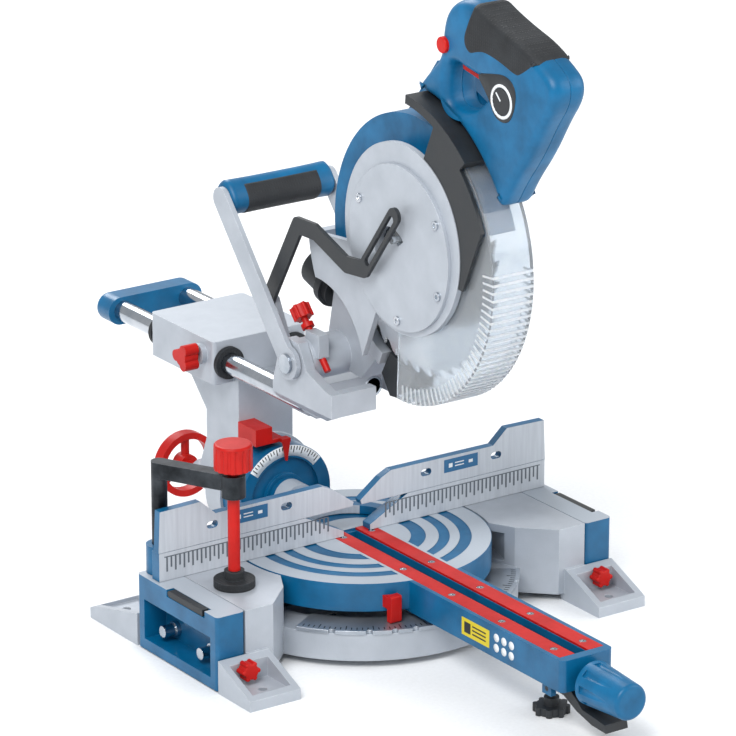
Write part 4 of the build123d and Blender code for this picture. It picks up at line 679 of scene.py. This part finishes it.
class MITRE_OT_carry_grip(bpy.types.Operator):
    """Make the carrying grip: a swollen blue tube with a soft black panel"""
    bl_idname = "mitre.carry_grip"
    bl_label = "Carrying grip"

    def execute(self, context):
        low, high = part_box("carry_handle_grip")
        centre = (low + high) / 2
        half = (high.x - low.x) / 2
        turn = np.linspace(0, tau, 64, endpoint=False)
        tilt = radians(50)

        def tube(start, end, scale, first, last):
            """Superellipse sections |y/a|^2.6 + |z/b|^2.6 = 1 along x, swelling a little towards the ends."""
            along = np.linspace(start, end, 40)
            near = np.minimum(along - start, end - along)
            ends = np.clip(near / 0.004, 0.0, 1.0)
            swell = scale * (1 + 0.05 * np.abs(along / half) ** 3) * (0.80 + 0.20 * np.sqrt(1 - (1 - ends) ** 2))
            y = np.sign(np.cos(turn)) * np.abs(np.cos(turn)) ** (2 / 2.6) * 0.0168
            z = np.sign(np.sin(turn)) * np.abs(np.sin(turn)) ** (2 / 2.6) * 0.0148
            keep = slice(first, last)
            y, z = y[keep] * cos(tilt) - z[keep] * sin(tilt), y[keep] * sin(tilt) + z[keep] * cos(tilt)
            return np.stack([
                np.broadcast_to(along[:, None], (len(along), len(y))) + centre.x,
                swell[:, None] * y[None, :] + centre.y,
                swell[:, None] * z[None, :] + centre.z], -1)

        body = tube(-half, half, 1.0, 0, 64)
        faces = list(grid_faces(*body.shape[:2], wrap_columns=True)[:, ::-1])
        faces += [tuple(range(64)), tuple(range(39 * 64, 40 * 64))[::-1]]
        grip = merged(piece("carry_grip_shell", body.reshape(-1, 3), faces, slot_finish("blue_plastic"), "head", "blue_plastic"))
        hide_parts("carry_handle_grip")
        soft = tube(-half * 0.74, half * 0.74, 1.045, 14, 44)
        inner = centre_pull(soft, centre, 0.9)
        rows, columns = soft.shape[:2]
        points = np.concatenate([soft.reshape(-1, 3), inner.reshape(-1, 3)])
        outside = grid_faces(rows, columns)[:, ::-1]
        inside = grid_faces(rows, columns, first=rows * columns)
        rim = [r * columns for r in range(rows)] + [(rows - 1) * columns + c for c in range(1, columns)]
        rim += [r * columns + columns - 1 for r in range(rows - 2, -1, -1)] + list(range(columns - 2, 0, -1))
        step = rows * columns
        sides = [(a, b, b + step, a + step) for a, b in zip(rim, rim[1:] + rim[:1])]
        merged(piece("carry_grip_inset", points, [*outside, *inside, *sides], slot_finish("black_rubber"), "head", "black_rubber"))
        return {"FINISHED"}


def centre_pull(points, centre, share):
    """Points drawn towards the line along x through centre, to this share of their distance."""
    pulled = points.copy()
    pulled[..., 1] = centre.y + share * (points[..., 1] - centre.y)
    pulled[..., 2] = centre.z + share * (points[..., 2] - centre.z)
    return pulled


class MITRE_OT_guard_ribs(bpy.types.Operator):
    """Make the ribs on the clear guard's rim"""
    bl_idname = "mitre.guard_ribs"
    bl_label = "Guard ribs"

    def execute(self, context):
        low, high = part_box("lower_guard")
        y, z = blade_centre()
        radius, half = 0.151, high.x
        clearance, width = 0.9 * MM, 1.3 * MM
        material = whitened_rib_polycarbonate()
        bars = []
        for degrees in np.arange(-88.0, 6.0, 2.9):
            out = Vector((0, -cos(radians(degrees)), sin(radians(degrees))))
            along = Vector((0, sin(radians(degrees)), cos(radians(degrees))))
            rim = Vector((0, y, z)) + out * (radius + clearance / 2 - 0.2 * MM)
            bars.append(bar(rim, (half, 0, 0), along * width, out * (clearance / 2)))
            for way in (-1, 1):
                side = Vector((way * half, y, z)) + out * (radius - 0.008)
                bars.append(bar(side, (clearance / 2, 0, 0), along * width * 0.8, out * 0.008))
        piece("guard_rim_ribs", *join(bars), material, "lower_guard", "clear_guard", smooth=False)
        return {"FINISHED"}


class MITRE_OT_fence_print(bpy.types.Operator):
    """Print the rulers and labels on the fences"""
    bl_idname = "mitre.fence_print"
    bl_label = "Fence rulers and labels"

    def execute(self, context):
        c, s = colours(), sizes()
        low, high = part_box("fixed_fence")
        face, thin = low.y, s.print_height
        ink = printed("grey ruler ink", linear("5E656D"))
        marks = []
        for side in (-1, 1):
            for n, x in enumerate(np.arange(0.035, high.x - 0.006, s.tick_step)):
                tall = 0.0075 if n % 2 == 0 else 0.0055
                marks.append(bar((side * x, face - thin / 2, high.z - 0.005 - tall), (0.0009, 0, 0), (0, thin / 2, 0), (0, 0, tall)))
            line = (side * (0.035 + high.x - 0.006) / 2, face - thin / 2, high.z - 0.0045)
            marks.append(bar(line, ((high.x - 0.041) / 2, 0, 0), (0, thin / 2, 0), (0, 0, 0.0005)))
        piece("fence_ruler", *join(marks), ink, "base", "machined_grey", smooth=False)
        for side, body in ((-1, "left_fence"), (1, "right_fence")):
            low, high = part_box(body.replace("_fence", "_sliding_fence"))
            middle = (side * 0.128, low.y - thin / 2, 0.1265)
            label = bar(middle, (0.021, 0, 0), (0, thin / 2, 0), (0, 0, 0.007))
            piece(body + "_label", *label, printed("blue printed label", c.label_blue), body, "blue_plastic", smooth=False)
            signs = [bar((middle[0] + dx, middle[1] - thin, middle[2] + dz), (w, 0, 0), (0, thin / 2, 0), (0, 0, h))
                     for dx, dz, w, h in ((-0.013, 0, 0.0022, 0.0022), (-0.002, 0.0018, 0.0055, 0.0005),
                                          (-0.002, -0.0015, 0.0055, 0.0005), (0.012, 0, 0.0025, 0.0016))]
            piece(body + "_label_marks", *join(signs), printed("white label marks", c.print_white), body, "machined_grey", smooth=False)
        return {"FINISHED"}


class MITRE_OT_table_print(bpy.types.Operator):
    """Make the kerf slot's dark sheet of painted shade, the arm's labels, the bevel scale and the mitre scale's marks
    """
    bl_idname = "mitre.table_print"
    bl_label = "Table labels and scales"

    def execute(self, context):
        c, s = colours(), sizes()
        thin = s.print_height
        plates_low, plates_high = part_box("kerf_plates")
        floor_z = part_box("kerf_screws")[0].z
        # A black sheet at the floor of the kerf slot: painted shade for the dark gap between the plates.
        kerf_shade_sheet = bar((0, (plates_low.y + plates_high.y) / 2, floor_z + 0.2 * MM), (0.0071, 0, 0),
                    (0, (plates_high.y - plates_low.y) / 2 - 0.004, 0), (0, 0, 0.3 * MM))
        piece("kerf_slot_painted_shade", *kerf_shade_sheet, slot_finish("black_plastic"), "turntable", "black_plastic", smooth=False)
        side = -0.0305 - thin / 2
        label_y, label_z = -0.238, 0.0615
        label = bar((side, label_y, label_z), (thin / 2, 0, 0), (0, 0.0225, 0), (0, 0, 0.009))
        piece("arm_label", *label, printed("yellow printed label", c.label_yellow), "turntable", "red_plastic", smooth=False)
        signs = [bar((side - thin, label_y + dy, label_z + dz), (thin / 2, 0, 0), (0, w, 0), (0, 0, h))
                 for dy, dz, w, h in ((0.013, 0, 0.005, 0.0055), (-0.006, 0.004, 0.011, 0.0007),
                                      (-0.006, 0.0, 0.011, 0.0007), (-0.006, -0.004, 0.011, 0.0007))]
        piece("arm_label_marks", *join(signs), printed("black label ink", c.black), "turntable", "black_plastic", smooth=False)
        dots = [turned([(0, 0), (0, 0.0042), (thin, 0.0042), (thin, 0)], (-0.0305 - thin, y, z), (1, 0, 0), 24)
                for y in (-0.272, -0.284, -0.296) for z in (0.067, 0.0565)]
        merged(piece("arm_pictograms", *join(dots), printed("white pictogram discs", c.print_white), "turntable", "machined_grey"))
        low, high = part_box("bevel_bracket")
        axis_z = plates_high.z
        marks = []
        for n, degrees in enumerate(range(42, 139, 4)):
            out = Vector((cos(radians(degrees)), 0, sin(radians(degrees))))
            along = Vector((-sin(radians(degrees)), 0, cos(radians(degrees))))
            reach = 0.0035 if n % 3 == 0 else 0.002
            centre = Vector((0, low.y - thin, axis_z)) + out * (0.0535 - reach)
            marks.append(bar(centre, out * reach, (0, thin / 2, 0), along * 0.0005))
        angle = np.radians(np.linspace(38, 142, 60))
        band = np.stack([np.stack([r * np.cos(angle), np.full(60, low.y - y), axis_z + r * np.sin(angle)], -1)
                         for r, y in ((0.043, 0.0), (0.043, thin / 2), (0.0545, thin / 2), (0.0545, 0.0), (0.043, 0.0))])
        merged(piece("bevel_scale", band.reshape(-1, 3), grid_faces(5, 60), printed("white scale band", c.print_white),
                     "turntable", "machined_grey"))
        piece("bevel_scale_marks", *join(marks), printed("black scale ink", c.black), "turntable", "black_plastic", smooth=False)
        low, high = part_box("mitre_scale_plate")
        marks = []
        for n, degrees in enumerate(range(-56, 57, 2)):
            out = Vector((sin(radians(degrees)), -cos(radians(degrees)), 0))
            along = Vector((cos(radians(degrees)), sin(radians(degrees)), 0))
            reach = 0.0045 if n % 5 == 3 else 0.0025
            centre = Vector((0, 0, high.z + thin / 2)) + out * (0.1555 - reach)
            marks.append(bar(centre, out * reach, (0, 0, thin / 2), along * 0.0005))
        piece("mitre_scale_marks", *join(marks), printed("black mitre scale ink", c.black), "base", "black_plastic", smooth=False)
        return {"FINISHED"}


class MITRE_OT_stage(bpy.types.Operator):
    """Make the floor, the lights, the backdrop light and the camera"""
    bl_idname = "mitre.stage"
    bl_label = "Stage"

    def execute(self, context):
        s = context.scene.saw_stage
        mesh = bpy.data.meshes.new("floor")
        half = s.floor_size / 2
        mesh.from_pydata([(-half, -half, 0), (half, -half, 0), (half, half, 0), (-half, half, 0)], [], [(0, 1, 2, 3)])
        floor = bpy.data.objects.new("floor", mesh)
        context.scene.collection.objects.link(floor)
        mesh.materials.append(printed("pale studio floor", linear("F4F5F6"), 0.8))
        world = bpy.data.worlds.new("studio light")
        world.use_nodes = True
        sky = world.node_tree.nodes["Background"]
        sky.inputs["Color"].default_value = linear("F2F5F8")
        sky.inputs["Strength"].default_value = 0.62
        context.scene.world = world
        context.scene.view_settings.view_transform = "Standard"
        target = Vector((-0.2478, -0.3709, 0.411))
        for name, place, size, power in (
                ("key light", (-2.2, -1.6, 3.0), 1.8, s.key_power),
                ("fill light", (2.6, -2.2, 1.8), 2.4, s.key_power * 0.45),
                ("rim light", (0.6, 2.8, 2.6), 1.6, s.key_power * 0.6)):
            lamp = bpy.data.lights.new(name, "AREA")
            lamp.size = size
            lamp.energy = power
            light = bpy.data.objects.new(name, lamp)
            light.location = place
            light.rotation_euler = (Vector((0, 0, 0.3)) - light.location).to_track_quat("-Z", "Y").to_euler()
            context.scene.collection.objects.link(light)
        view = bpy.data.cameras.new("camera")
        view.lens = s.lens
        camera = bpy.data.objects.new("camera", view)
        away = Vector((sin(s.azimuth) * cos(s.elevation), -cos(s.azimuth) * cos(s.elevation), sin(s.elevation)))
        camera.location = target + away * s.distance
        camera.rotation_euler = (-away).to_track_quat("-Z", "Y").to_euler()
        context.scene.collection.objects.link(camera)
        context.scene.camera = camera
        return {"FINISHED"}


class MITRE_PT_panel(bpy.types.Panel):
    """The saw's pieces, in the order in which they are made"""
    bl_idname = "MITRE_PT_panel"
    bl_label = "Mitre saw"
    bl_space_type = "VIEW_3D"
    bl_region_type = "UI"
    bl_category = "Mitre saw"

    def draw(self, context):
        for operator in OPERATORS:
            self.layout.operator(operator.bl_idname)


OPERATORS = (
    MITRE_OT_frame_finishes, MITRE_OT_handle, MITRE_OT_controls, MITRE_OT_carry_grip, MITRE_OT_guard_ribs,
    MITRE_OT_fence_print, MITRE_OT_table_print, MITRE_OT_stage)
GROUPS = (("saw_colours", Colours), ("saw_sizes", Sizes), ("saw_stage", StageSettings))


def register():
    for name, group in GROUPS:
        bpy.utils.register_class(group)
        setattr(bpy.types.Scene, name, bpy.props.PointerProperty(type=group))
    for kind in (*OPERATORS, MITRE_PT_panel):
        bpy.utils.register_class(kind)


def unregister():
    for kind in reversed((*OPERATORS, MITRE_PT_panel)):
        bpy.utils.unregister_class(kind)
    for name, group in reversed(GROUPS):
        delattr(bpy.types.Scene, name)
        bpy.utils.unregister_class(group)


def main():
    register()
    for operator in OPERATORS:
        family, action = operator.bl_idname.split(".")
        getattr(getattr(bpy.ops, family), action)()


if __name__ == "__main__":
    main()
